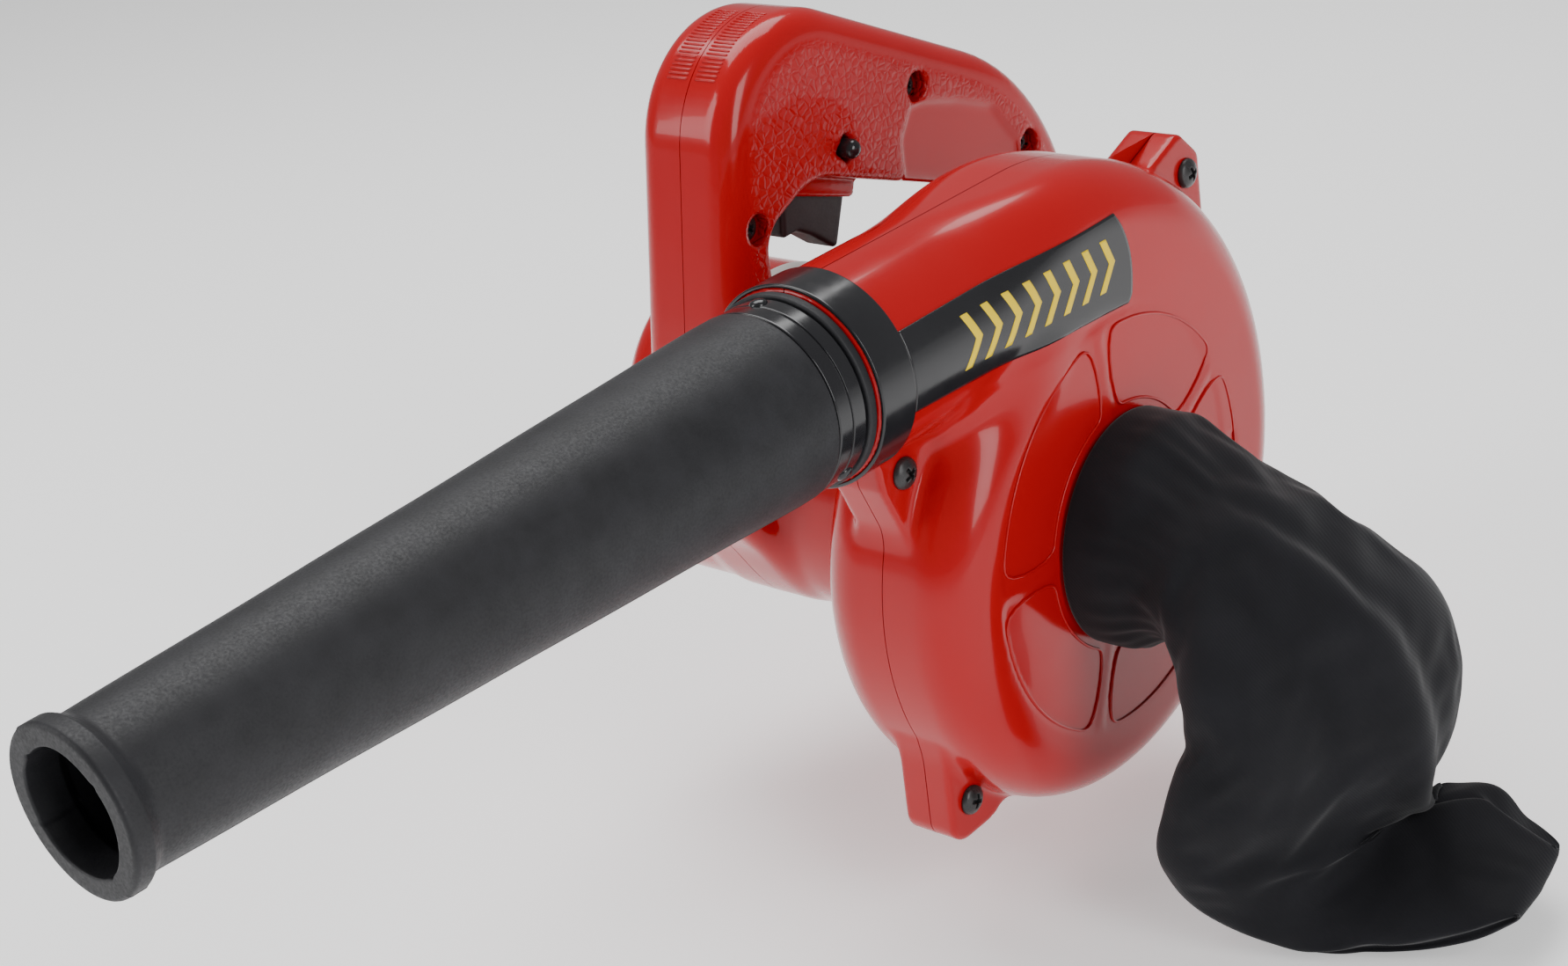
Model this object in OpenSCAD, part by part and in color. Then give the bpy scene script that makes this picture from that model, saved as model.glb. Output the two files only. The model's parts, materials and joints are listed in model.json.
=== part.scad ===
// Hand-held electric air blower with a scroll fan casing, a tapered rubber
// nozzle, a D handle over the motor and a cloth dust bag on the side intake.
// The fan axis runs along X, the nozzle points along -Y and +Z is up.

/* [Fan casing] */
// Half width of the casing, from its seam to its flat face
casing_half = 27; // [25:0.5:30]
// Radius of the first arc of the scroll, from the tongue to the bottom
scroll_r = 80.5; // [80:0.5:83]
// Growth of the scroll in each quarter turn
scroll_step = 9.5; // [8:0.25:9.75]
// Wall thickness of the moulded shells
wall = 2.5; // [2:0.1:3]
// Rounding of the casing's rim
rim_round = 17; // [14:0.5:18]
// Radius of the air intake
intake_r = 29; // [26:0.5:30]

/* [Outlet and nozzle] */
// Height of the outlet's axis above the fan axis
outlet_z = 77.9; // [77.5:0.1:77.9]
// Outer radius of the outlet tube
outlet_r = 26.5; // [26:0.1:26.8]
// Distance from the fan axis to the tube's front end
outlet_len = 101; // [99:1:103]
// Length of the nozzle in front of the collar
nozzle_len = 219; // [180:1:240]
// Outer radius of the nozzle's rim at the tip
tip_r = 19.4; // [18.5:0.1:20]
// Radius of the hole in the tip
tip_bore_r = 14.1; // [12:0.1:14.5]

/* [Motor housing and handle] */
// Distance from the casing's seam to the seam of the two housing halves
handle_x = 84; // [82:0.5:85]
// Half width of the handle
handle_half = 18.5; // [18:0.5:19.5]
// Outer radius of the motor barrel
barrel_r = 43; // [42:0.5:45]
// Distance from the casing's seam to the end of the motor barrel
barrel_end = 134; // [132:1:138]

/* [Controls] */
// Travel of the trigger
trigger_travel = 6; // [4:0.5:6]
// Travel of the lock-on button
lock_travel = 3; // [2:0.5:3]

/* [Impeller] */
// Outer radius of the impeller
impeller_r = 54; // [50:1:55]
// Number of impeller blades
blade_count = 10; // [6:1:12]

/* [Hidden] */
$fn = 64;

red = [0.80, 0.06, 0.07];
black = [0.06, 0.06, 0.07];
steel = [0.72, 0.73, 0.75];
copper = [0.72, 0.38, 0.18];
brass = [0.80, 0.63, 0.25];

gap = 0.3;              // air between a moving piece and its neighbour
cut = 1;                // how far a cutter runs past the face it cuts

// Where the hand holds the grip: this point is the part's origin.
grip = [-handle_x, 38, 106];

// Scroll: three arcs whose centres step round the corners of a square, so that they meet smoothly.
front_reach = 79;
bottom_reach = 85;
tongue_angle = 147;
arc_1 = [scroll_r - front_reach, scroll_r - bottom_reach, scroll_r];
arc_2 = [arc_1[0], arc_1[1] + scroll_step, scroll_r + scroll_step];
arc_3 = [arc_2[0] - scroll_step, arc_2[1], scroll_r + 2 * scroll_step];

// Ring and spokes embossed on the cover's face
ring_r = 60.8;
spoke_angles = [96, 176, 250, 322, 30];
emboss = 0.6;

// Screws: [y, z] of each lug on the casing
lug_screws = [[72, 79], [-60, -64], [-73, 44]];
lug_x = 8;
// Screws through the handle halves: [y, z]
handle_screw_at = [[43, 108], [98, 73], [-35, 89], [108, 12]];
// Screws that fix the casing's back to the motor housing: [y, z]
motor_screw_at = [for (a = [45:90:315]) [33 * cos(a), 33 * sin(a)]];
screw_r = 1.9;
pilot_r = 1.95;
head_r = 4.5;
recess_r = 4.7;
recess_floor = 12;      // seat of the handle screws' heads, from the handle's seam
hole_r = screw_r + 0.1; // clearance hole for the shank

// Collar, nozzle flange and ring, as distances in front of the fan axis
collar_r = 27.5;
collar_back = 87.4;
collar_front = 100;
flange_back = outlet_len + gap;
flange_t = 3;
flange_r = 26;
ring_back = flange_back + flange_t + 0.4;
ring_w = 10.5;
cone_back = ring_back + ring_w;
ring_r_out = 25.2;
ring_seat_r = 22.8;
cone_r = 25.4;
tip_front = collar_front + nozzle_len;
tip_neck_r = 17.4;
nozzle_wall = 2.4;
spigot_len = 20;
outlet_bore = outlet_r - wall;

// Handle outline, corners as [y, z, radius] in the seam plane
handle_outer = [[-62, 8, 24], [-25, -36, 20], [60, -36, 24], [124, -8, 26],
    [124, 87, 84], [-35.5, 161, 37]];
handle_opening = [[-31, 40, 6], [90, 40, 6], [90, 60, 5], [-8, 96, 22], [-31, 86, 10]];
handle_edge = 6;
opening_edge = 3;

// Trigger: slides square to the underside of the grip
grip_slope = -18.5;
deck_at = [3, 16];
// Lock-on button in the right half, [y, z]
lock_at = [6.7, 100];
button_r = 3;
trigger_w = 12;
guide = [8.5, 30, 12];  // half width, length and height of the block it slides in
guide_at = [21, 85];    // rear lower corner of that block, [y, z]
guide_drop = 5.6;

// Motor: radii, and places along the fan axis
shaft_r = 4;
shaft_x = [-128, 14];
journal_r = 3;          // rear end of the shaft, in its bearing
core_r = 17.5;
core_x = [-92, -56];
armature_slots = 12;
commutator_r = 11;
commutator_x = [-115, -102];
brush_x = -108;
stator_r = 35;

// Cooling slots in the motor's end cap
vent_pitch = 8;
vent_w = 3.2;
vent_len = 44;

// Bag: stations as [x, y, z, half width, half thickness, tilt, turn about Z, lift of the far edge]
bag_stations = [[42, 0, 0, 33, 32, 2, 0, 0], [49, 0, 0, 32, 29, 6, 0, 0], [58, -1, -2, 33, 25, 14, 2, 0],
    [71, -2, -8, 37, 22, 34, 8, 0], [84, -3, -19, 43, 21, 58, 16, 0], [89, -4, -36, 45, 20, 76, 22, 0],
    [87, -7, -56, 46, 18, 94, 26, 0], [83, -8, -75, 44, 17, 96, 26, 2], [87, -5, -92, 39, 15, 62, 22, 8],
    [99, 2, -102, 35, 11, 18, 12, 17], [117, 10, -101, 32, 9, -16, 4, 17],
    [131, 13, -96, 26, 8, -34, -4, 8], [143, 13, -90, 20, 6, -40, -6, 0]];

// ---------------------------------------------------------------- helpers

module tool_frame() { translate(-grip) children(); }

// Extrudes a (y, z) outline along X from x0 to x1.
module along_x(x0, x1) {
    translate([x0, 0, 0]) rotate([90, 0, 90]) linear_extrude(x1 - x0) children();
}

// Turned piece or bore on an axis parallel to X.
module rod_x(x0, x1, r, at = [0, 0]) {
    translate([x0, at[0], at[1]]) rotate([0, 90, 0]) cylinder(h = x1 - x0, r = r);
}

// Turned piece on the outlet's axis, from y0 to y1 in front of the fan axis.
module rod_y(y0, y1, r0, r1) {
    translate([0, -y0, outlet_z]) rotate([90, 0, 0]) cylinder(h = y1 - y0, r1 = r0, r2 = r1);
}

function unit(v) = v / norm(v);
function arc(cy, cz, r, a0, a1, n) =
    [for (i = [0:n]) let (a = a0 + (a1 - a0) * i / n) [cy + r * cos(a), cz + r * sin(a)]];

// Points of one rounded corner of an outline that runs anticlockwise, moved in by inset.
function corner(a, b, c, r, inset) =
    let (u = unit(a - b), v = unit(c - b), half = acos(u * v) / 2,
        centre = b + unit(u + v) * r / sin(half), reach = r / tan(half),
        turn = sign((b - a)[0] * (c - b)[1] - (b - a)[1] * (c - b)[0]),
        d1 = b + u * reach - centre, d2 = b + v * reach - centre,
        a1 = atan2(d1[1], d1[0]), a2 = atan2(d2[1], d2[0]),
        sweep = (a2 - a1 + 540) % 360 - 180, steps = max(3, ceil(abs(sweep) / 9)))
    arc(centre[0], centre[1], r - turn * inset, a1, a1 + sweep, steps);

function rounded(corners, inset = 0) =
    let (n = len(corners))
    [for (i = [0:n - 1]) each corner([corners[(i + n - 1) % n][0], corners[(i + n - 1) % n][1]],
        [corners[i][0], corners[i][1]],
        [corners[(i + 1) % n][0], corners[(i + 1) % n][1]], corners[i][2], inset)];

// Closed solid through a list of rings with the same number of points.
module sweep(rings) {
    n = len(rings[0]);
    m = len(rings);
    faces = [[for (j = [0:n - 1]) j],
        for (i = [0:m - 2]) for (j = [0:n - 1])
            each [[i * n + j, (i + 1) * n + (j + 1) % n, i * n + (j + 1) % n],
                [i * n + j, (i + 1) * n + j, (i + 1) * n + (j + 1) % n]],
        [for (j = [n - 1:-1:0]) (m - 1) * n + j]];
    polyhedron([for (ring = rings) each ring], faces);
}

// Coil spring along +Z, from z = 0 to its height.
module coil_spring(r, wire, turns, height) {
    steps = 14;
    sides = 6;
    sweep([for (i = [0:turns * steps]) let (a = 360 * i / steps,
        z = wire + (height - 2 * wire) * i / (turns * steps))
        [for (j = [0:sides - 1]) let (b = 360 * j / sides)
            [(r + wire * cos(b)) * cos(a), (r + wire * cos(b)) * sin(a), z - wire * sin(b)]]]);
}

// ---------------------------------------------------------------- casing

// Section of the rim, as (radius, distance from the seam).
function rim_section(r, depth, edge) = concat([[0, 0], [r, 0]],
    arc(r - edge, depth - edge, edge, 0, 90, 6), [[0, depth]]);

// Outline of the scroll, moved in by inset; shift shortens both its ends, in degrees.
function scroll_outline(inset, shift) = concat(
    arc(arc_1[0], arc_1[1], arc_1[2] - inset, tongue_angle + shift, 270, 20),
    arc(arc_2[0], arc_2[1], arc_2[2] - inset, 276, 360, 14),
    arc(arc_3[0], arc_3[1], arc_3[2] - inset, 6, 90 - shift, 14));

// Rounded scroll from its seam plane to depth, moved in by inset; drawn with Z as the fan axis.
module scroll_body(inset, depth, edge) {
    shift = max(0, inset) * 180 / (PI * scroll_r);
    levels = concat([[0, 0]], [for (p = arc(0, 0, edge, 0, 90, 6)) [depth - edge + p[1], edge - p[0]]]);
    sweep([for (l = levels) [for (p = scroll_outline(inset + l[1], shift)) [p[0], p[1], l[0]]]]);
}

module half_casing(side, grow = 0) {
    mirror([side < 0 ? 1 : 0, 0, 0]) {
        rotate([90, 0, 90]) scroll_body(-grow, casing_half + grow, rim_round);
        intersection() {
            rod_y(6, outlet_len, outlet_r + grow, outlet_r + grow);
            translate([0, -150, 0]) cube([60, 200, 150]);
        }
    }
}

module half_hollow(side) {
    mirror([side < 0 ? 1 : 0, 0, 0]) {
        translate([-cut, 0, 0]) rotate([90, 0, 90])
            scroll_body(wall, casing_half - wall + cut, rim_round - wall);
        rod_y(6, outlet_len + cut, outlet_bore, outlet_bore);
    }
}

// Outlines of the three screw lugs, each with its screw's place.
lug_outlines = [
    [[40, 60, 3], [81, 56, 4], [80, 83, 4], [70, 92, 4], [42, 82, 3]],
    [[-69, -76, 7], [-50, -76, 9], [-24, -64, 5], [-40, -40, 4], [-69, -40, 4]],
    [[-72, 20, 4], [-55, 30, 4], [-50, 56, 4], [-84, 56, 5], [-82, 42, 5]]];

module lugs(x0, x1) {
    for (outline = lug_outlines) along_x(x0, x1) polygon(rounded(outline));
}

module intake_grille() {
    bars = 8;
    bar_w = 2.4;
    hub_r = 9;
    for (i = [0:bars - 1]) rotate([i * 360 / bars, 0, 0])
        translate([casing_half - wall, -bar_w / 2, hub_r - 2]) cube([wall, bar_w, intake_r - hub_r + 3]);
    difference() {
        rod_x(casing_half - wall, casing_half, hub_r);
        rod_x(casing_half - wall - cut, casing_half + cut, hub_r - bar_w);
    }
}

// Two thin raised lines side by side on the cover's face.
module embossed_lines() {
    for (r = [ring_r - 1.7, ring_r + 0.7]) difference() {
        rod_x(casing_half - 0.5, casing_half + emboss, r + 1);
        rod_x(casing_half - cut, casing_half + emboss + cut, r);
    }
    for (a = spoke_angles, s = [-2.2, 1.2]) rotate([a - 90, 0, 0])
        translate([casing_half - 0.5, s, intake_r + 8])
            cube([0.4 + emboss, 1, ring_r - intake_r - 9]);
}

neck_r = 32;
neck_len = 7;
bag_ring_r = neck_r + 1.4;
cuff_r = bag_ring_r + 1.6;

module volute_cover() {
    color(red) tool_frame() difference() {
        union() {
            difference() {
                union() {
                    half_casing(1);
                    lugs(0, lug_x);
                    rod_x(casing_half - 5, casing_half + neck_len, neck_r);
                }
                half_hollow(1);
                rod_x(casing_half - 6, casing_half + neck_len + cut, intake_r);
            }
            intake_grille();
            embossed_lines();
        }
        for (p = lug_screws) rod_x(-cut, lug_x + cut, hole_r, p);
    }
}

bearing_r = 11;
front_bearing_x = [-32, -25];
rear_bearing_x = [-126, -120];
rear_bearing_r = 9.5;

module volute_back() {
    spigot_r = barrel_r - wall - 0.1;
    color(red) tool_frame() difference() {
        union() {
            difference() {
                union() { half_casing(-1); lugs(-9, 0); }
                half_hollow(-1);
            }
            rod_x(-36, -22, bearing_r + wall);
            difference() {
                rod_x(-30, -casing_half + 0.5, spigot_r);
                rod_x(-30 - cut, -casing_half, spigot_r - wall);
            }
            for (p = motor_screw_at) rod_x(-30, -24.6, 3.6, p);
        }
        rod_x(front_bearing_x[0] - cut, front_bearing_x[1], bearing_r);
        rod_x(-37, -31, bearing_r);
        rod_x(-26, -20, 8);
        for (p = motor_screw_at) rod_x(-31, -20, hole_r, p);
        for (p = lug_screws) rod_x(-8, cut, pilot_r, p);
        for (a = [0:30:330]) rotate([a, 0, 0]) translate([-30, -2, 18]) cube([6, 4, 8]);
    }
}

// ---------------------------------------------------------------- housings

module screw_boss(x0, x1, p) { rod_x(x0, x1, pilot_r + 2.4, p); }

// One half of the D handle, from the seam plane towards the side given.
module handle_body(side) {
    steps = [[0, 5, 0], [5, 9, 1], [9, 12, 2.2], [12, 14.5, 3.8], [14.5, handle_half, handle_edge]];
    for (s = steps) {
        x0 = side > 0 ? -handle_x + s[0] : -handle_x - s[1];
        along_x(x0, x0 + s[1] - s[0]) difference() {
            polygon(rounded(handle_outer, s[2]));
            polygon(rounded(handle_opening, -s[2] * opening_edge / handle_edge));
        }
    }
}

module handle_hollow(side) {
    depth = handle_half - wall;
    along_x(side > 0 ? -handle_x - cut : -handle_x - depth, side > 0 ? -handle_x + depth : -handle_x + cut)
        difference() {
            polygon(rounded(handle_outer, wall + 2));
            polygon(rounded(handle_opening, -wall - 1));
        }
}

// Block under the grip that the trigger slides through.
module trigger_guide(side) {
    x0 = side > 0 ? -handle_x : -handle_x - guide[0];
    translate([x0, guide_at[0], guide_at[1]]) rotate([grip_slope, 0, 0])
        translate([0, -guide[1], -guide_drop]) cube(guide);
}

module trigger_slot() {
    slot = [trigger_w + 2 * gap, 40, 2 * guide[2]];
    translate([-handle_x - slot[0] / 2, guide_at[0] + 1, guide_at[1] - 0.5]) rotate([grip_slope, 0, 0])
        translate([0, -slot[1], -slot[2] / 2]) cube([slot[0], slot[1] + gap, slot[2]]);
}

// Raised top of the motor housing, under the hand.
module barrel_deck(x0, x1, r) {
    rod_x(x0, x1, r, deck_at);
}

module cord_hole() {
    translate([-handle_x, gland_y + cut, gland_z]) rotate([90, 0, 0]) cylinder(h = 12, r = gland_r);
}

module right_housing() {
    face_x = -handle_x + handle_half;
    color(red) tool_frame() difference() {
        union() {
            difference() {
                union() {
                    rod_x(-handle_x, -casing_half - 0.5, barrel_r);
                    barrel_deck(-handle_x, -56, barrel_r);
                    handle_body(1);
                }
                handle_hollow(1);
                rod_x(-handle_x - cut, -casing_half, barrel_r - wall);
                barrel_deck(-handle_x - cut, -56 - wall, barrel_r - wall);
            }
            trigger_guide(1);
            for (p = handle_screw_at)
                rod_x(-handle_x, -handle_x + handle_half - wall + 0.1, recess_r + 1, p);
            difference() {
                for (p = motor_screw_at) rod_x(-53, -30.2, 4.4, p * 1.03);
                rod_x(-60, -29, stator_r - 7);
            }
            difference() {
                rod_x(-54, -50, barrel_r - 1);
                rod_x(-55, -49, stator_r - 8);
            }
        }
        trigger_slot();
        for (p = handle_screw_at) {
            rod_x(-handle_x - cut, -60, hole_r, p);
            rod_x(-handle_x + recess_floor, -60, recess_r, p);
        }
        for (p = motor_screw_at) rod_x(-46, -29, pilot_r, p);
        cord_hole();
        rod_x(face_x - 9, face_x + cut, button_r + gap, lock_at);
        for (a = [0:90:270]) rod_x(face_x - 9, face_x + cut, 1.5, lock_at + 3 * [cos(a), sin(a)]);
    }
}

// Cup with a rounded end, open at the housing's seam.
module housing_shell(r, depth, edge, p) {
    translate([-handle_x, p[0], p[1]]) rotate([0, -90, 0]) rotate_extrude()
        polygon(rim_section(r, depth, edge));
}

module left_housing() {
    cap_edge = 12;
    color(red) tool_frame() difference() {
        union() {
            difference() {
                union() {
                    housing_shell(barrel_r, barrel_end - handle_x, cap_edge, [0, 0]);
                    housing_shell(barrel_r, barrel_end - handle_x, cap_edge, deck_at);
                    handle_body(-1);
                }
                handle_hollow(-1);
                for (p = [[0, 0], deck_at]) translate([cut, 0, 0])
                    housing_shell(barrel_r - wall, barrel_end - handle_x - wall + cut,
                        cap_edge - wall, p);
            }
            trigger_guide(-1);
            for (p = handle_screw_at) screw_boss(-handle_x - handle_half + wall, -handle_x, p);
            rod_x(-barrel_end + 1, -119, rear_bearing_r + 4.5);
        }
        trigger_slot();
        for (p = handle_screw_at) rod_x(-handle_x - 13, -handle_x + cut, pilot_r, p);
        rod_x(-127, -118, rear_bearing_r + 1.6);
        for (i = [-3:3]) if (i != 0) {
            len = vent_len - 4 * abs(i);
            translate([-barrel_end - cut, -len / 2, i * vent_pitch - vent_w / 2]) cube([7, len, vent_w]);
        }
        cord_hole();
        rod_x(-130, -126, 3.5);
    }
}

gland_r = 6;
inlet_r = 3.7;
gland_y = 124;
gland_z = 10;

// ---------------------------------------------------------------- outlet, nozzle and bag

module outlet_collar() {
    color(black) tool_frame() difference() {
        rod_y(collar_back, collar_front, collar_r, collar_r);
        rod_y(collar_back - cut, collar_front + cut, outlet_r + 0.03, outlet_r + 0.03);
    }
}

module nozzle() {
    tip_t = 4.5;
    color(black) tool_frame() difference() {
        union() {
            rod_y(outlet_len - spigot_len, flange_back + cut, outlet_bore - gap, outlet_bore - gap);
            rod_y(flange_back, flange_back + flange_t, flange_r, flange_r);
            rod_y(flange_back + flange_t - 0.1, ring_back - 0.05, ring_seat_r + 0.8, ring_seat_r + 0.8);
            rod_y(ring_back - cut, cone_back, ring_seat_r, ring_seat_r);
            rod_y(cone_back, tip_front - tip_t, cone_r, tip_neck_r);
            rod_y(tip_front - tip_t - 3, tip_front - tip_t, tip_neck_r, tip_r);
            rod_y(tip_front - tip_t, tip_front, tip_r, tip_r);
        }
        rod_y(outlet_len - spigot_len - cut, cone_back, cone_r - nozzle_wall - 2,
            cone_r - nozzle_wall - 2);
        rod_y(cone_back - 0.1, tip_front - 8, cone_r - nozzle_wall - 2, tip_bore_r);
        rod_y(tip_front - 8.1, tip_front + cut, tip_bore_r, tip_bore_r);
    }
}

module nozzle_ring() {
    color(black) tool_frame() {
        difference() {
            union() {
                rod_y(ring_back, ring_back + ring_w / 2 - 0.2, ring_r_out, ring_r_out);
                rod_y(ring_back + ring_w / 2 - 0.3, ring_back + ring_w / 2 + 0.3, ring_r_out - 0.4,
                    ring_r_out - 0.4);
                rod_y(ring_back + ring_w / 2 + 0.2, cone_back - 0.2, ring_r_out, ring_r_out);
            }
            rod_y(ring_back - cut, cone_back + cut, ring_seat_r + 0.15, ring_seat_r + 0.15);
        }
        for (a = [-42, 95, 222]) translate([0, 0, outlet_z]) rotate([0, -a, 0])
            translate([ring_r_out - 0.8, -ring_back - 3.4, 0]) rotate([0, 90, 0]) cylinder(h = 2.1, r = 2.6);
    }
}

module bag_connector() {
    color(black) tool_frame() difference() {
        rod_x(casing_half + 0.8 + emboss, casing_half + 12, bag_ring_r);
        rod_x(casing_half, casing_half + neck_len + gap, neck_r + 0.3);
        rod_x(casing_half, casing_half + 13, intake_r);
    }
}

// Limp bag as one solid: a cuff round its ring and a section swept through the stations.
module dust_bag() {
    sides = 24;
    color([0.07, 0.07, 0.08]) tool_frame() {
        difference() {
            rod_x(casing_half + 1.6, casing_half + 15.5, cuff_r);
            rod_x(casing_half, casing_half + 12.3, bag_ring_r + gap);
        }
        sweep([for (s = bag_stations)
            [for (j = [0:sides - 1])
                let (a = 360 * j / sides, v = s[3] * cos(a), w = s[4] * sin(a), out = w * sin(s[5]))
                [s[0] + v * sin(s[6]) + out * cos(s[6]), s[1] + v * cos(s[6]) - out * sin(s[6]),
                    s[2] + w * cos(s[5]) + s[7] * (1 + cos(a)) / 2]]]);
    }
}

// ---------------------------------------------------------------- fan and motor

module impeller() {
    disc_x = -18;
    color([0.85, 0.85, 0.83]) tool_frame() difference() {
        union() {
            rod_x(disc_x, disc_x + 2, impeller_r);
            rod_x(disc_x - 3, 4, 12);
            for (i = [0:blade_count - 1]) rotate([i * 360 / blade_count, 0, 0])
                intersection() {
                    translate([0, -18, 0]) difference() {
                        rod_x(disc_x + 1, 14, 38, [0, 32]);
                        rod_x(disc_x, 15, 36.4, [0, 32]);
                    }
                    translate([disc_x + 1, 0, 11]) cube([32, 60, impeller_r - 13]);
                    rod_x(disc_x, 15, impeller_r);
                }
        }
        rod_x(disc_x - 4, 5, shaft_r + 0.02);
        translate([5, 0, 0]) rotate([0, 90, 0]) cylinder(h = 12, r1 = 18, r2 = intake_r);
    }
}

module fan_washer() {
    color(steel) tool_frame() difference() {
        rod_x(4.02, 5.4, 8);
        rod_x(3, 7, shaft_r + 0.02);
    }
}

module fan_nut() {
    color(steel) tool_frame() difference() {
        translate([5.42, 0, 0]) rotate([0, 90, 0]) cylinder(h = 6.5, r = 7.5, $fn = 6);
        rod_x(4, 14, shaft_r + 0.02);
    }
}

module armature_shaft() {
    color(steel) tool_frame() {
        rod_x(-52, shaft_x[1], shaft_r);
        rod_x(-118, -51.9, shaft_r + 1);
        rod_x(shaft_x[0], -117.9, journal_r);
        rod_x(-24.6, -21.2, shaft_r + 2);
    }
}

module armature_core() {
    color([0.42, 0.42, 0.44]) tool_frame() difference() {
        rod_x(core_x[0], core_x[1], core_r);
        rod_x(core_x[0] - cut, core_x[1] + cut, shaft_r + 1.02);
        for (i = [1:armature_slots]) rotate([i * 360 / armature_slots, 0, 0])
            translate([core_x[0] - cut, -1.5, 11]) cube([core_x[1] - core_x[0] + 2, 3, 5.5]);
    }
}

module armature_windings() {
    color(copper) tool_frame() {
        for (i = [1:armature_slots]) rotate([i * 360 / armature_slots, 0, 0])
            translate([core_x[0] - 2, -1.3, 11.2]) cube([core_x[1] - core_x[0] + 4, 2.6, 4.6]);
        for (end = [[core_x[0] - 8, core_x[0] - 0.1], [core_x[1] + 0.1, core_x[1] + 8]])
            difference() {
                translate([(end[0] + end[1]) / 2, 0, 0]) rotate([0, 90, 0]) rotate_extrude()
                    polygon([for (p = rounded([[5.2, -3.9, 1], [16, -3.9, 2.5], [16, 3.9, 2.5],
                        [5.2, 3.9, 1]])) p]);
                rod_x(end[0] - cut, end[1] + cut, shaft_r + 1.02);
            }
    }
}

module commutator() {
    bars = 24;
    color(copper) tool_frame() difference() {
        union() {
            rod_x(commutator_x[0], commutator_x[1], commutator_r);
            rod_x(commutator_x[1] - 0.1, commutator_x[1] + 1.8, commutator_r + 1.6);
        }
        rod_x(commutator_x[0] - cut, commutator_x[1] + 3, shaft_r + 1.02);
        for (i = [0:bars - 1]) rotate([i * 360 / bars, 0, 0])
            translate([commutator_x[0] - cut, -0.25, commutator_r - 0.8])
                cube([commutator_x[1] - commutator_x[0] + cut, 0.5, 2]);
    }
}

// Ball bearing: two rings with a row of balls between them.
module ball_bearing(x0, x1, r_out, r_in) {
    mid = (r_out + r_in) / 2;
    ball_r = (r_out - r_in) * 0.22;
    balls = 7;
    difference() { rod_x(x0, x1, r_out - 0.04); rod_x(x0 - cut, x1 + cut, mid + ball_r * 0.7); }
    difference() { rod_x(x0, x1, mid - ball_r * 0.7); rod_x(x0 - cut, x1 + cut, r_in + 0.03); }
    for (i = [0:balls - 1]) rotate([i * 360 / balls, 0, 0])
        translate([(x0 + x1) / 2, 0, mid]) sphere(ball_r, $fn = 24);
}

module front_bearing() {
    color(steel) tool_frame() ball_bearing(front_bearing_x[0], front_bearing_x[1], bearing_r, shaft_r);
}

module rear_bearing() {
    color(steel) tool_frame() ball_bearing(rear_bearing_x[0], rear_bearing_x[1], rear_bearing_r, journal_r);
}

module bearing_sleeve() {
    color(black) tool_frame() difference() {
        rod_x(rear_bearing_x[0], rear_bearing_x[1], rear_bearing_r + 1.55);
        rod_x(rear_bearing_x[0] - cut, rear_bearing_x[1] + cut, rear_bearing_r);
    }
}

module stator_core() {
    color([0.48, 0.48, 0.50]) tool_frame() difference() {
        intersection() {
            rod_x(core_x[0], core_x[1], stator_r);
            translate([core_x[0], -stator_r, -29]) cube([core_x[1] - core_x[0], 2 * stator_r, 58]);
        }
        rod_x(core_x[0] - cut, core_x[1] + cut, core_r + 0.5);
        for (s = [-1, 1]) difference() {
            rod_x(core_x[0] - cut, core_x[1] + cut, 27);
            rod_x(core_x[0] - 2, core_x[1] + 2, 20.5);
            translate([core_x[0] - 2, -30, -9]) cube([60, 60, 18]);
            translate([core_x[0] - 2, -9, -30]) cube([60, 18, 60]);
        }
    }
}

module field_coils() {
    color(copper) tool_frame() for (s = [0, 180]) rotate([s, 0, 0]) difference() {
        rod_x(core_x[0] - 8, core_x[1] + 8, 26.5);
        rod_x(core_x[0] - 9, core_x[1] + 9, 21);
        translate([core_x[0] - 10, -40, -40]) cube([56, 80, 49.5]);
        translate([core_x[0] - 0.3, -9.6, -40]) cube([36.6, 19.2, 80]);
    }
}

module brush_holders() {
    color(brass) tool_frame() for (s = [0, 180]) rotate([s, 0, 0]) difference() {
        translate([brush_x - 4.6, -3.6, 12.5]) cube([9.2, 7.2, 20]);
        translate([brush_x - 3.55, -2.55, 11]) cube([7.1, 5.1, 20.5]);
    }
}

module carbon_brushes() {
    color([0.13, 0.13, 0.14]) tool_frame() for (s = [0, 180]) rotate([s, 0, 0])
        translate([brush_x - 3.5, -2.5, commutator_r + 0.1]) cube([7, 5, 12]);
}

module brush_springs() {
    color(steel) tool_frame() for (s = [0, 180]) rotate([s, 0, 0])
        translate([brush_x, 0, commutator_r + 12.2]) coil_spring(1.8, 0.3, 6, 8.1);
}

// ---------------------------------------------------------------- controls

module trigger() {
    color(black) tool_frame() difference() {
        along_x(-handle_x - trigger_w / 2, -handle_x + trigger_w / 2)
            polygon(rounded([[-12, 76.5, 1.5], [-5, 76.8, 3], [1, 73.5, 3], [11.8, 65.4, 1.5],
                [17.6, 80, 0.8], [21, 93, 2], [-10, 98, 2]]));
        translate([-handle_x, 6, 91]) rotate([grip_slope, 0, 0]) cylinder(h = 20, r = 3.4);
    }
}

module trigger_spring() {
    color(steel) tool_frame() translate([-handle_x, 6, 91]) rotate([grip_slope, 0, 0])
        coil_spring(2.6, 0.4, 7, trigger_travel + 8.7);
}

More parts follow.
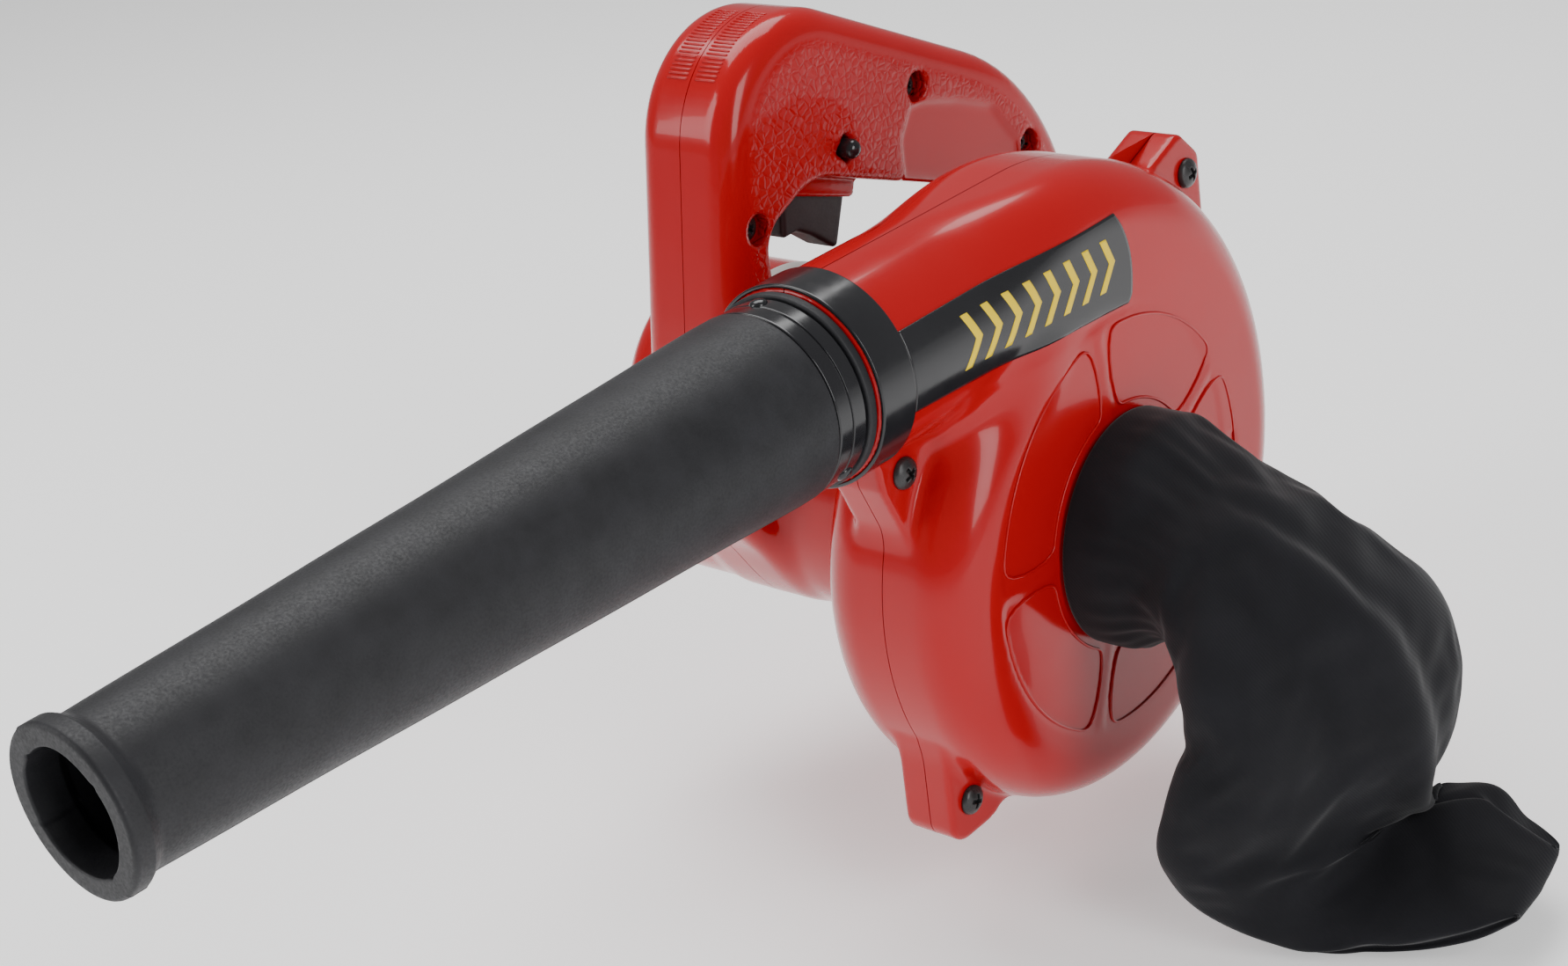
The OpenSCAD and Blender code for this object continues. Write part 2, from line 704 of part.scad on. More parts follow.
// Switch with a tab beside the trigger that the lock-on button's spring rests on.
module switch_body() {
    tab_x = -handle_x + 8;
    color([0.10, 0.10, 0.11]) tool_frame() {
        translate([-handle_x - 9, 10.8, 105]) rotate([grip_slope, 0, 0])
            translate([0, -14, 0]) cube([18, 28, 14]);
        translate([tab_x - 2, lock_at[0] - 2, lock_at[1] - 2]) cube([2, 5, 11]);
        rod_x(tab_x - 0.5, tab_x + 3.45, 1.1, lock_at);
    }
}

module lock_button() {
    bore = button_r - 0.9;
    flange = button_r + 1.1;
    profile = concat([[bore, -6.8], [flange, -6.8], [flange, -5.4], [button_r, -5.4]],
        arc(0, 1.5, button_r, 0, 90, 8), [[0, -2.6], [bore, -2.6]]);
    color(black) tool_frame() translate([-handle_x + handle_half, lock_at[0], lock_at[1]])
        rotate([0, 90, 0]) rotate_extrude() polygon(profile);
}

module lock_spring() {
    color(steel) tool_frame()
        translate([-handle_x + handle_half - 7, lock_at[0], lock_at[1]]) rotate([0, 90, 0])
            coil_spring(1.5, 0.25, 4, lock_travel + 1.2);
}

module cord_gland() {
    color(black) tool_frame() difference() {
        translate([-handle_x, gland_y + 2.5, gland_z]) rotate([90, 0, 0]) union() {
            cylinder(h = 8, r = gland_r - 0.1);
            cylinder(h = 2, r = gland_r + 2);
        }
        translate([-handle_x, gland_y + 4, gland_z]) rotate([90, 0, 0]) cylinder(h = 14, r = inlet_r);
    }
}

module capacitor() {
    color([0.85, 0.70, 0.15]) tool_frame() translate([-handle_x - 9, -22, 118])
        cube([17, 12, 13]);
}

// ---------------------------------------------------------------- screws and labels

module cross_recess(r, depth) {
    for (a = [0, 90]) rotate([0, 0, a]) translate([-r, -0.5, -depth]) cube([2 * r, 1, depth + cut]);
}

// Pan-head screw whose head rests on x and whose shank runs towards -X.
module pan_screw(x, p, len, r_head) {
    translate([x, p[0], p[1]]) rotate([0, 90, 0]) difference() {
        union() {
            cylinder(h = 2.2, r1 = r_head, r2 = r_head * 0.72);
            translate([0, 0, 2.1]) cylinder(h = 0.7, r1 = r_head * 0.74, r2 = r_head * 0.4);
            translate([0, 0, -len]) cylinder(h = len + 0.1, r = screw_r);
        }
        translate([0, 0, 2.9]) cross_recess(r_head * 0.5, 1.6);
    }
}

module volute_screws() {
    color(black) tool_frame() for (p = lug_screws) pan_screw(lug_x, p, 15, head_r);
}

module handle_screws() {
    color(black) tool_frame() for (p = handle_screw_at) pan_screw(-handle_x + recess_floor, p, 20, 3.9);
}

module motor_screws() {
    color(steel) tool_frame() for (p = motor_screw_at) pan_screw(-24.5, p, 20, 3.4);
}

// Sticker that follows the tube and the casing's rim.
module side_label() {
    outline = [[-84, 70], [10, 65], [9, 91], [-84, 91]];
    color([0.05, 0.05, 0.05]) tool_frame() intersection() {
        along_x(10, casing_half + 2) polygon(outline);
        difference() { half_casing(1, 0.35); half_casing(1, 0.05); }
    }
}

// Blank sticker that follows the top of the motor housing.
module rating_label() {
    size = [13.5, 44];
    x0 = -handle_x - 14;
    color([0.85, 0.85, 0.83]) tool_frame() intersection() {
        difference() {
            rod_x(x0, x0 + size[0], barrel_r + 0.32, deck_at);
            rod_x(x0 - cut, x0 + size[0] + cut, barrel_r + 0.02, deck_at);
        }
        translate([x0 - cut, deck_at[0] - size[1] / 2, deck_at[1]])
            cube([size[0] + 2 * cut, size[1], barrel_r + cut]);
    }
}

volute_cover();
volute_back();
right_housing();
left_housing();
outlet_collar();
nozzle();
nozzle_ring();
bag_connector();
dust_bag();
impeller();
fan_washer();
fan_nut();
armature_shaft();
armature_core();
armature_windings();
commutator();
front_bearing();
rear_bearing();
bearing_sleeve();
stator_core();
field_coils();
brush_holders();
carbon_brushes();
brush_springs();
trigger();
trigger_spring();
switch_body();
lock_button();
lock_spring();
cord_gland();
capacitor();
volute_screws();
handle_screws();
motor_screws();
side_label();
rating_label();
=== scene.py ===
import json
import math

import bmesh
import bpy
import numpy as np
from mathutils import Matrix, Vector


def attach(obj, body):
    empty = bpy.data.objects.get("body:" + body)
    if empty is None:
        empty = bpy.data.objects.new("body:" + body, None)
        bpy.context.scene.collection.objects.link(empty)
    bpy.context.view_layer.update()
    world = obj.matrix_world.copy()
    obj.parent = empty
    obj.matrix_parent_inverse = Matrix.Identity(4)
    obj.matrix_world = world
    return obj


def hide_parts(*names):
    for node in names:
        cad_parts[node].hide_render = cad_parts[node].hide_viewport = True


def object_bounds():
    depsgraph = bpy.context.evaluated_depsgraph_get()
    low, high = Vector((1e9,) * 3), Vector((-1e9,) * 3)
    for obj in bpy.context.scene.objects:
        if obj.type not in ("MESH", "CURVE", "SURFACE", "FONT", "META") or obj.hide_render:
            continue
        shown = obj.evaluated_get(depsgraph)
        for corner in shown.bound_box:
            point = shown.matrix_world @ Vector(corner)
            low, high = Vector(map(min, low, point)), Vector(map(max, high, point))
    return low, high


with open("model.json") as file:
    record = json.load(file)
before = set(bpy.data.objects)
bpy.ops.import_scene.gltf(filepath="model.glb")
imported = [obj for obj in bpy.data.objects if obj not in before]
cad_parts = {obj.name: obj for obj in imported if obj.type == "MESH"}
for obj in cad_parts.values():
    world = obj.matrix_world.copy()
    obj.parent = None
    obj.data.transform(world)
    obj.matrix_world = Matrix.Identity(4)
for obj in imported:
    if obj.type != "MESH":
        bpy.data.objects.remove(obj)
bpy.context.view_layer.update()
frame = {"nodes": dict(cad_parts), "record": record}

# -------- frame
# Shapes are worked out in the fan frame: millimetres, the fan axis along X through the origin,
# the nozzle towards -Y. The row frame is the same, in metres, from the middle of the grip.
GRIP = np.array([-84.0, 38.0, 106.0])
MM = 0.001


def to_row(points):
    """Fan-frame points in millimetres as row-frame points in metres."""
    return (np.asarray(points, float) - GRIP) * MM


# Dimensions shared by several pieces, in millimetres
HANDLE_X = -84.0          # seam of the two housing halves
HANDLE_HALF = 18.5
CASING_HALF = 27.0
RIM_EDGE = 17.0
WALL = 2.5
BARREL_R = 43.0
BARREL_LEFT = -134.0
BARREL_RIGHT = -27.8
DECK_RIGHT = -56.0        # where the raised deck on the barrel ends, towards the fan
BARREL_EDGE = 12.0        # rounding of the barrel's closed end
HANDLE_EDGE = 8
TUBE_TOP, TUBE_BOTTOM = 104.5, 51.5
CURL_AT = (-8, 5)         # centre of the duct's bend, (y, z)
OUTLET_Z = 77.9
OUTLET_R = 26.5
OUTLET_FRONT = -101.0
NECK_R = 32.0
INTAKE_R = 29.0
SEAM_GAP = 0.14           # each half stops this far from its seam
LUG_SCREWS = [(72, 79), (-60, -64), (-73, 44)]
HANDLE_SCREWS = [(43, 108), (98, 73), (-35, 89), (108, 12)]
LOCK_AT = (6.7, 100)
GRIP_SLOPE = math.radians(-18.5)


# -------- camera
def make_camera():
    """Camera where the photographer stood: three-quarter front view from above, rolled a little."""
    data = bpy.data.cameras.new("camera")
    data.sensor_width = 36
    data.lens = 55.16
    camera = bpy.data.objects.new("camera", data)
    bpy.context.scene.collection.objects.link(camera)
    right = Vector((0.7636, 0.6333, -0.1252)).normalized()
    forward = Vector((-0.6196, 0.6656, -0.4161)).normalized()
    up = right.cross(forward).normalized()
    right = forward.cross(up)
    turn = Matrix((right, up, -forward)).transposed().to_4x4()
    camera.matrix_world = Matrix.Translation(to_row((373.5, -511.4, 306.6))) @ turn
    bpy.context.scene.camera = camera


make_camera()


# -------- distance fields
# A field is a function of x, y and z that is negative inside; coordinates broadcast.
def soft_min(a, b, k):
    """Union of two fields with a fillet of about k."""
    h = np.maximum(k - np.abs(a - b), 0) / k
    return np.minimum(a, b) - h * h * k / 4


def soft_max(a, b, k):
    """Intersection of two fields with a rounded edge of about k."""
    return -soft_min(-a, -b, k)


def slab(flat, depth, edge):
    """Rounds a flat outline's field into a slab: both fields are 0 on its faces."""
    a, b = flat + edge, depth + edge
    return np.minimum(np.maximum(a, b), 0) + np.hypot(np.maximum(a, 0), np.maximum(b, 0)) - edge


def smooth_step(a, b, x):
    """0 at a and before, 1 at b and beyond, smooth between."""
    t = np.clip((x - a) / (b - a), 0, 1)
    return t * t * (3 - 2 * t)


def rounded(corners, step=9):
    """Points of an outline whose corners are (y, z, radius)."""
    points = []
    c = np.array(corners, float)
    for i in range(len(c)):
        a, b, d = c[i - 1, :2], c[i, :2], c[(i + 1) % len(c), :2]
        u, v = (a - b) / np.linalg.norm(a - b), (d - b) / np.linalg.norm(d - b)
        half = math.acos(np.clip(u @ v, -1, 1)) / 2
        r = c[i, 2]
        centre = b + (u + v) / np.linalg.norm(u + v) * r / math.sin(half)
        first, last = b + u * r / math.tan(half) - centre, b + v * r / math.tan(half) - centre
        a0, a1 = math.atan2(first[1], first[0]), math.atan2(last[1], last[0])
        sweep = (a1 - a0 + math.pi * 3) % (math.pi * 2) - math.pi
        n = max(3, math.ceil(abs(math.degrees(sweep)) / step))
        for t in np.linspace(a0, a0 + sweep, n + 1):
            points.append(centre + r * np.array([math.cos(t), math.sin(t)]))
    return np.array(points)


def run_length(points):
    """Distance along a row of points from the first one to each."""
    return np.concatenate([[0], np.cumsum(np.linalg.norm(np.diff(points, axis=0), axis=1))])


def outline_field(points):
    """Signed distance to a closed outline in (y, z)."""
    start, end = points, np.roll(points, -1, axis=0)

    def field(y, z):
        y, z = np.broadcast_arrays(y, z)
        nearest = np.full(y.shape, 1e9)
        inside = np.zeros(y.shape, bool)
        for (ay, az), (by, bz) in zip(start, end):
            ey, ez = by - ay, bz - az
            wy, wz = y - ay, z - az
            t = np.clip((wy * ey + wz * ez) / max(ey * ey + ez * ez, 1e-12), 0, 1)
            nearest = np.minimum(nearest, (wy - ey * t) ** 2 + (wz - ez * t) ** 2)
            if az != bz:
                crosses = ((az > z) != (bz > z)) & (y < ay + ey * (z - az) / (bz - az))
                inside ^= crosses
        return np.sqrt(nearest) * np.where(inside, -1, 1)

    return field


def turned(y, z, at=(0, 0)):
    """Distance from an axis parallel to X."""
    return np.hypot(y - at[0], z - at[1])


CORNERS = [(0, 0, 0), (1, 0, 0), (0, 1, 0), (1, 1, 0), (0, 0, 1), (1, 0, 1), (0, 1, 1), (1, 1, 1)]
CELL_EDGES = [(0, 1), (2, 3), (4, 5), (6, 7), (0, 2), (1, 3), (4, 6), (5, 7), (0, 4), (1, 5), (2, 6),
              (3, 7)]


def surface_net(field, low, high, step):
    """Quads on the surface of a field: one point in each cell that the surface crosses."""
    axes = [np.arange(low[i], high[i] + step, step) for i in range(3)]
    grid = axes[0][:, None, None], axes[1][None, :, None], axes[2][None, None, :]
    v = np.asarray(field(*grid), np.float32)
    v = np.broadcast_to(v, tuple(len(a) for a in axes))
    inside = v < 0
    shape = np.array(v.shape) - 1
    count = sum(inside[a:a + shape[0], b:b + shape[1], c:c + shape[2]].astype(np.int8)
                for a, b, c in CORNERS)
    cells = np.argwhere((count > 0) & (count < 8))
    number = np.full(shape, -1, np.int64)
    number[tuple(cells.T)] = np.arange(len(cells))
    values = [v[tuple((cells + c).T)] for c in CORNERS]
    total, crossings = np.zeros((len(cells), 3)), np.zeros(len(cells))
    for a, b in CELL_EDGES:
        crosses = (values[a] < 0) != (values[b] < 0)
        t = np.where(crosses, values[a] / np.where(crosses, values[a] - values[b], 1), 0)
        at = np.array(CORNERS[a]) + t[:, None] * (np.array(CORNERS[b]) - np.array(CORNERS[a]))
        total += at * crosses[:, None]
        crossings += crosses
    points = np.array(low) + (cells + total / crossings[:, None]) * step
    quads = []
    for axis in range(3):
        near, far = [slice(None)] * 3, [slice(None)] * 3
        near[axis], far[axis] = slice(None, -1), slice(1, None)
        crossed = inside[tuple(near)] != inside[tuple(far)]
        at = np.argwhere(crossed)
        p, q = (axis + 1) % 3, (axis + 2) % 3
        at = at[(at[:, p] > 0) & (at[:, q] > 0) & (at[:, p] < shape[p]) & (at[:, q] < shape[q])]
        solid = inside[tuple(at.T)]
        ring = []
        for dp, dq in ((0, 0), (1, 0), (1, 1), (0, 1)):
            cell = at.copy()
            cell[:, p] -= dp
            cell[:, q] -= dq
            ring.append(number[tuple(cell.T)])
        ring = np.stack(ring, 1)
        quads.append(np.where(solid[:, None], ring, ring[:, ::-1]))
    return points, np.concatenate(quads)


def settle(field, points, quads, rounds=2):
    """Evens the points out and brings them onto the field's surface."""

    def project(p, passes):
        h = 0.05
        for _ in range(passes):
            d = field(*p.T)
            g = np.stack([field(*(p + e).T) - d for e in np.eye(3) * h], 1) / h
            size = np.maximum((g * g).sum(1), 0.05)
            move = -(d / size)[:, None] * g
            length = np.linalg.norm(move, axis=1, keepdims=True)
            p = p + move * np.minimum(1, 0.8 / np.maximum(length, 1e-9))
        return p

    points = project(points, 2)
    for _ in range(rounds):
        total, count = np.zeros_like(points), np.zeros(len(points))
        for i in range(4):
            a, b = quads[:, i], quads[:, (i + 1) % 4]
            for s, e in ((a, b), (b, a)):
                for k in range(3):
                    total[:, k] += np.bincount(s, points[e, k], len(points))
                count += np.bincount(s, minlength=len(points))
        points = points + 0.6 * (total / np.maximum(count, 1)[:, None] - points)
        points = project(points, 1)
    return points


def mesh_object(name, points, faces, materials=()):
    """Object in the row frame from fan-frame points."""
    mesh = bpy.data.meshes.new(name)
    mesh.from_pydata(to_row(points).tolist(), [], [list(map(int, f)) for f in faces])
    mesh.validate()
    mesh.polygons.foreach_set("use_smooth", [True] * len(mesh.polygons))
    obj = bpy.data.objects.new(name, mesh)
    bpy.context.scene.collection.objects.link(obj)
    for m in materials:
        mesh.materials.append(m)
    return obj


def place_piece(obj, body, slot, *nodes):
    """Attaches a piece to its body and hides the CAD nodes that it stands for; slot is not used."""
    if nodes:
        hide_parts(*nodes)
    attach(obj, body)


def ring_faces(rings, columns, closed=False):
    """Quads between neighbouring rings of points; closed joins the last ring to the first."""
    return [(i * columns + j, i * columns + (j + 1) % columns,
             (i + 1) % rings * columns + (j + 1) % columns, (i + 1) % rings * columns + j)
            for i in range(rings if closed else rings - 1) for j in range(columns)]


def keep_side(obj, seam_x, side):
    """Cuts a moulded shell at its seam, leaving one half with a closed rim."""
    at = Vector(to_row((seam_x + side * SEAM_GAP, 0, 0)))
    bm = bmesh.new()
    bm.from_mesh(obj.data)
    bmesh.ops.bisect_plane(bm, geom=bm.verts[:] + bm.edges[:] + bm.faces[:], plane_co=at,
                           plane_no=(side, 0, 0), clear_inner=True, dist=1e-7)
    open_edges = [e for e in bm.edges if e.is_boundary]
    filled = bmesh.ops.triangle_fill(bm, edges=open_edges, use_beauty=True, normal=(-side, 0, 0))
    for face in filled["geom"]:
        if isinstance(face, bmesh.types.BMFace):
            face.smooth = False
    for e in open_edges:
        e.smooth = False
    bmesh.ops.recalc_face_normals(bm, faces=bm.faces[:])
    bm.to_mesh(obj.data)
    bm.free()


def shell_pair(name_low, name_high, field, low, high, seam_x, material):
    """Two halves of a moulded body, cut at the seam plane: the low and the high X side."""
    points, quads = surface_net(field, low, high, 1.15)
    points = settle(field, points, quads)
    made = []
    for name, side in ((name_low, -1), (name_high, 1)):
        obj = mesh_object(name, points, quads, [material])
        keep_side(obj, seam_x, side)
        made.append(obj)
    return made


# -------- materials
def node_material(name, base, roughness, **inputs):
    """Principled material; returns it with its node tree and shader."""
    m = bpy.data.materials.new(name)
    m.use_nodes = True
    shader = m.node_tree.nodes["Principled BSDF"]
    shader.inputs["Base Color"].default_value = (*base, 1)
    shader.inputs["Roughness"].default_value = roughness
    for key, value in inputs.items():
        shader.inputs[key.replace("_", " ")].default_value = value
    return m, m.node_tree, shader


def add_node(tree, kind, **settings):
    """Adds a node and sets its inputs and properties by name."""
    node = tree.nodes.new("ShaderNode" + kind)
    for key, value in settings.items():
        if key in node.inputs:
            node.inputs[key].default_value = value
        else:
            setattr(node, key, value)
    return node


def object_coords(tree):
    return add_node(tree, "TexCoord").outputs["Object"]


def noise(tree, scale, detail, coords=None):
    """Noise texture in the object's own coordinates, or in the ones given."""
    node = add_node(tree, "TexNoise", Scale=scale, Detail=detail)
    if coords is None:
        coords = object_coords(tree)
    tree.links.new(coords, node.inputs["Vector"])
    return node


def ramp(tree, source, low, high, colour_low, colour_high):
    """Colour that runs from one to another while the source runs from low to high."""
    node = add_node(tree, "ValToRGB")
    node.color_ramp.elements[0].position = low
    node.color_ramp.elements[1].position = high
    node.color_ramp.elements[0].color = (*colour_low, 1)
    node.color_ramp.elements[1].color = (*colour_high, 1)
    tree.links.new(source, node.inputs[0])
    return node.outputs[0]


def grey(v):
    return (v, v, v)


def bump(tree, shader, height, strength, distance, below=None):
    """Bumps the shader's surface, on top of the bump below if there is one."""
    node = add_node(tree, "Bump", Strength=strength, Distance=distance)
    tree.links.new(height, node.inputs["Height"])
    if below is not None:
        tree.links.new(below, node.inputs["Normal"])
    tree.links.new(node.outputs[0], shader.inputs["Normal"])
    return node.outputs[0]


def red_plastic(name, grained=False):
    """Glossy red moulding; the grained one has pebbles where the mesh's grain attribute is 1."""
    m, tree, shader = node_material(name, (0.37, 0.003, 0.007), 0.2, Coat_Weight=0.25,
                                    Coat_Roughness=0.04, Specular_IOR_Level=0.22)
    broad = noise(tree, 9, 3)
    colour = ramp(tree, broad.outputs[0], 0.3, 0.7, (0.40, 0.0022, 0.005), (0.46, 0.0034, 0.007))
    tree.links.new(colour, shader.inputs["Base Color"])
    fine = noise(tree, 60, 4)
    rough = ramp(tree, fine.outputs[0], 0.35, 0.7, grey(0.16), grey(0.24))
    ripple = noise(tree, 45, 1)
    soft = bump(tree, shader, ripple.outputs[0], 0.25, 0.0006)
    if grained:
        coords = object_coords(tree)
        bend = noise(tree, 260, 1, coords)
        offset = add_node(tree, "VectorMath", operation="MULTIPLY_ADD")
        offset.inputs[1].default_value = (0.0016,) * 3
        tree.links.new(bend.outputs["Color"], offset.inputs[0])
        tree.links.new(coords, offset.inputs[2])
        cells = add_node(tree, "TexVoronoi", feature="DISTANCE_TO_EDGE", Scale=360.0)
        tree.links.new(offset.outputs[0], cells.inputs["Vector"])
        pebbles = ramp(tree, cells.outputs["Distance"], 0.02, 0.22, grey(0), grey(1))
        mask = add_node(tree, "Attribute", attribute_name="grain")
        masked = add_node(tree, "Math", operation="MULTIPLY")
        tree.links.new(pebbles, masked.inputs[0])
        tree.links.new(mask.outputs["Fac"], masked.inputs[1])
        bump(tree, shader, masked.outputs[0], 0.65, 0.00045, soft)
        duller = add_node(tree, "Math", operation="MULTIPLY_ADD")
        duller.inputs[1].default_value = 0.2
        tree.links.new(mask.outputs["Fac"], duller.inputs[0])
        tree.links.new(rough, duller.inputs[2])
        rough = duller.outputs[0]
    tree.links.new(rough, shader.inputs["Roughness"])
    return m


def speckled(name, base, base_2, rough_low, rough_high, scale, bump_mm, **inputs):
    """Dull moulded material: broad colour change, fine speckle in roughness and surface."""
    m, tree, shader = node_material(name, base, rough_low, **inputs)
    broad = noise(tree, scale * 0.08, 4)
    tree.links.new(ramp(tree, broad.outputs[0], 0.3, 0.7, base, base_2), shader.inputs["Base Color"])
    fine = noise(tree, scale, 5)
    tree.links.new(ramp(tree, fine.outputs[0], 0.35, 0.7, grey(rough_low), grey(rough_high)),
                   shader.inputs["Roughness"])
    bump(tree, shader, fine.outputs[0], 0.6, bump_mm * MM)
    return m


def metal(name, base, roughness, scale=250):
    """Machined metal with fine lines along X."""
    m, tree, shader = node_material(name, base, roughness, Metallic=1.0)
    coords = object_coords(tree)
    stretch = add_node(tree, "Mapping")
    stretch.inputs["Scale"].default_value = (1, 6, 6)
    tree.links.new(coords, stretch.inputs["Vector"])
    lines = noise(tree, scale, 3, stretch.outputs[0])
    tree.links.new(ramp(tree, lines.outputs[0], 0.3, 0.7, grey(roughness * 0.8), grey(roughness * 1.3)),
                   shader.inputs["Roughness"])
    bump(tree, shader, lines.outputs[0], 0.3, 0.00005)
    return m


RED = red_plastic("red_abs")
RED_GRAINED = red_plastic("red_abs_grained", grained=True)
GLOSS_BLACK = speckled("gloss_black", (0.010, 0.010, 0.012), (0.016, 0.016, 0.018), 0.15, 0.21, 260,
                       0.003)
RUBBER = speckled("black_rubber", (0.007, 0.007, 0.009), (0.015, 0.015, 0.018), 0.5, 0.66, 1500, 0.05,
                  Specular_IOR_Level=0.4)
MATT_BLACK = speckled("matt_black", (0.012, 0.012, 0.013), (0.018, 0.018, 0.02), 0.42, 0.55, 1600, 0.03)
SCREW_BLACK = speckled("black_screw", (0.012, 0.012, 0.013), (0.03, 0.03, 0.03), 0.25, 0.45, 1200, 0.02)
NYLON = speckled("white_nylon", (0.72, 0.72, 0.69), (0.80, 0.80, 0.78), 0.38, 0.5, 500, 0.02)
CARBON = speckled("carbon", (0.03, 0.03, 0.032), (0.05, 0.05, 0.05), 0.5, 0.7, 2500, 0.02)
FILM = speckled("film_yellow", (0.86, 0.60, 0.0), (0.93, 0.66, 0.002), 0.35, 0.45, 400, 0.004,
                Specular_IOR_Level=0.3)
LABEL_GREY = speckled("label_grey", (0.50, 0.50, 0.47), (0.60, 0.60, 0.58), 0.3, 0.4, 800, 0.005)
STEEL = metal("steel", (0.62, 0.63, 0.65), 0.28)
LAMINATION = metal("lamination", (0.30, 0.30, 0.32), 0.5, 1200)
COPPER = metal("copper", (0.72, 0.30, 0.12), 0.35, 1500)
BRASS = metal("brass", (0.80, 0.58, 0.22), 0.3)

SLOT_MATERIALS = {"white_nylon": NYLON, "steel": STEEL, "lamination": LAMINATION, "copper": COPPER,
                  "brass": BRASS, "carbon": CARBON, "film_yellow": FILM, "black_rubber": RUBBER,
                  "matt_black": MATT_BLACK, "gloss_black": GLOSS_BLACK, "black_screw": SCREW_BLACK,
                  "label_grey": LABEL_GREY, "red_shell": RED, "label_black": GLOSS_BLACK,
                  "bag_cloth": RUBBER}


def dress_cad_nodes():
    """Every carried-over CAD node gets the material of its slot."""
    for part in frame["record"]["subparts"]:
        mesh = frame["nodes"][part["node"]].data
        mesh.materials.clear()
        mesh.materials.append(SLOT_MATERIALS[part["material_slot"]])


dress_cad_nodes()


# -------- fan casing
# Lugs of the casing's three screws, and the angles of the raised spokes on its cover in degrees
LUGS = [outline_field(rounded(o)) for o in (
    [(40, 60, 3), (81, 56, 4), (80, 83, 4), (70, 92, 4), (42, 82, 3)],
    [(-69, -76, 7), (-50, -76, 9), (-24, -64, 5), (-40, -40, 4), (-69, -40, 4)],
    [(-72, 20, 4), (-55, 30, 4), (-50, 56, 4), (-84, 56, 5), (-82, 42, 5)])]
SPOKES = [96, 176, 250, 322, 30]
PANEL_OUTER = 60.8
PANEL_DEPTH = 0.25
PANEL_LINES = (60.4, 36.5)          # outer and inner radius of the raised lines round the panels
SPOKE_HALF = 1.7
BAR_HALF = 1.2            # grille: half width of its bars and of its hub's ring
HUB_R = 7.8
SEAT_R, SEAT_BORE, SEAT_HOLE = 13.5, 11, 8      # front bearing's seat on the back half


def scroll(y, z):
    """Outline of the scroll's round part: two arcs that meet smoothly."""
    wide, narrow = turned(y, z, (1.5, 5)) - 90, turned(y, z, (1.5, -4.5)) - 80.5
    return np.where((z < 5) & (y >= 1.5), wide, narrow)


def panels(y, z):
    """1 inside the shallow panels between the spokes of the cover, 0 outside."""
    r = np.hypot(y, z)
    angle = np.degrees(np.arctan2(z, y))
    side = np.full(np.broadcast(y, z).shape, 1e9)
    for s in SPOKES:
        off = np.radians((angle - s + 180) % 360 - 180)
        side = np.minimum(side, np.where(np.abs(off) < 1.2, np.abs(r * np.sin(off)), 1e9))
    inset = soft_max(r - PANEL_OUTER, SPOKE_HALF - side, 3)
    return smooth_step(0.45, -0.45, inset)


def casing_body(x, y, z):
    """Outside of the scroll and of the duct that curls off it into the outlet tube, open at the front."""
    front = smooth_step(-8, -55, y)
    relief = PANEL_DEPTH * panels(y, z)
    half = np.where(x > 0, CASING_HALF - relief, CASING_HALF)
    main = slab(scroll(y, z), np.abs(x) - half, RIM_EDGE)
    ahead = y < CURL_AT[0]
    bend = turned(y, z, CURL_AT)
    outer = np.where(ahead, z - TUBE_TOP, bend - (TUBE_TOP - CURL_AT[1]))
    inner = np.where(ahead, TUBE_BOTTOM - z, TUBE_BOTTOM - CURL_AT[1] - bend)
    across = np.maximum(outer, inner) + 0.1 * front * np.where(z > (TUBE_TOP + TUBE_BOTTOM) / 2, 1, -1)
    edge = RIM_EDGE + (OUTLET_R - RIM_EDGE) * front
    duct = slab(across, np.abs(x) - (CASING_HALF - 0.5 * front), edge)
    duct = np.maximum(duct, np.where(ahead, -200, 4 - z))      # starts above the fan's axis
    valley = 15 * np.clip((90 - z) / 28, 0, 1) * smooth_step(-6, -38, y)
    return soft_min(main, duct, valley + 0.01)


def casing_field(x, y, z):
    """Both halves of the scroll casing: walls, lugs, neck, bearing seat and the intake's grille."""
    body = outside = casing_body(x, y, z)
    for lug in LUGS:
        outside = soft_min(outside, slab(lug(y, z), np.abs(x + 0.5) - 8.5, 1.3), 4)
    r = turned(y, z)
    outside = soft_min(outside, slab(r - NECK_R, np.abs(x - 28) - 6, 1), 2)
    seat = slab(r - SEAT_R, np.abs(x + 29) - 7, 0.8)
    outside = soft_max(outside, OUTLET_FRONT - y, 0.8)
    walls = np.maximum(outside, -(body + WALL))
    walls = np.minimum(walls, np.maximum(seat, x + 22))
    walls = soft_max(walls, -slab(r - INTAKE_R, np.abs(x - 29) - 7, 0.1), 0.8)
    walls = np.maximum(walls, -np.maximum(r - SEAT_BORE, np.abs(x + 31) - 6))
    walls = np.maximum(walls, -np.maximum(r - SEAT_HOLE, np.abs(x + 23) - 5))
    bars = np.abs(y)
    for a in (45, 90, 135):
        c, s = math.cos(math.radians(a)), math.sin(math.radians(a))
        bars = np.minimum(bars, np.abs(y * c - z * s))
    spread = np.maximum(np.maximum(bars - BAR_HALF, r - 30), 7 - r)
    hub = np.abs(r - HUB_R) - BAR_HALF
    grille = np.maximum(np.minimum(spread, hub), np.abs(x - 25.75) - 1.25)
    return np.minimum(walls, grille)


def make_casing():
    back, cover = shell_pair("casing_back", "casing_cover", casing_field, (-38.3, -103.4, -88.3),
                             (37.3, 94.6, 107.4), 0.0, RED)
    for obj, node in ((back, "volute_back"), (cover, "volute_cover")):
        place_piece(obj, "casing", "red_shell", node)


make_casing()


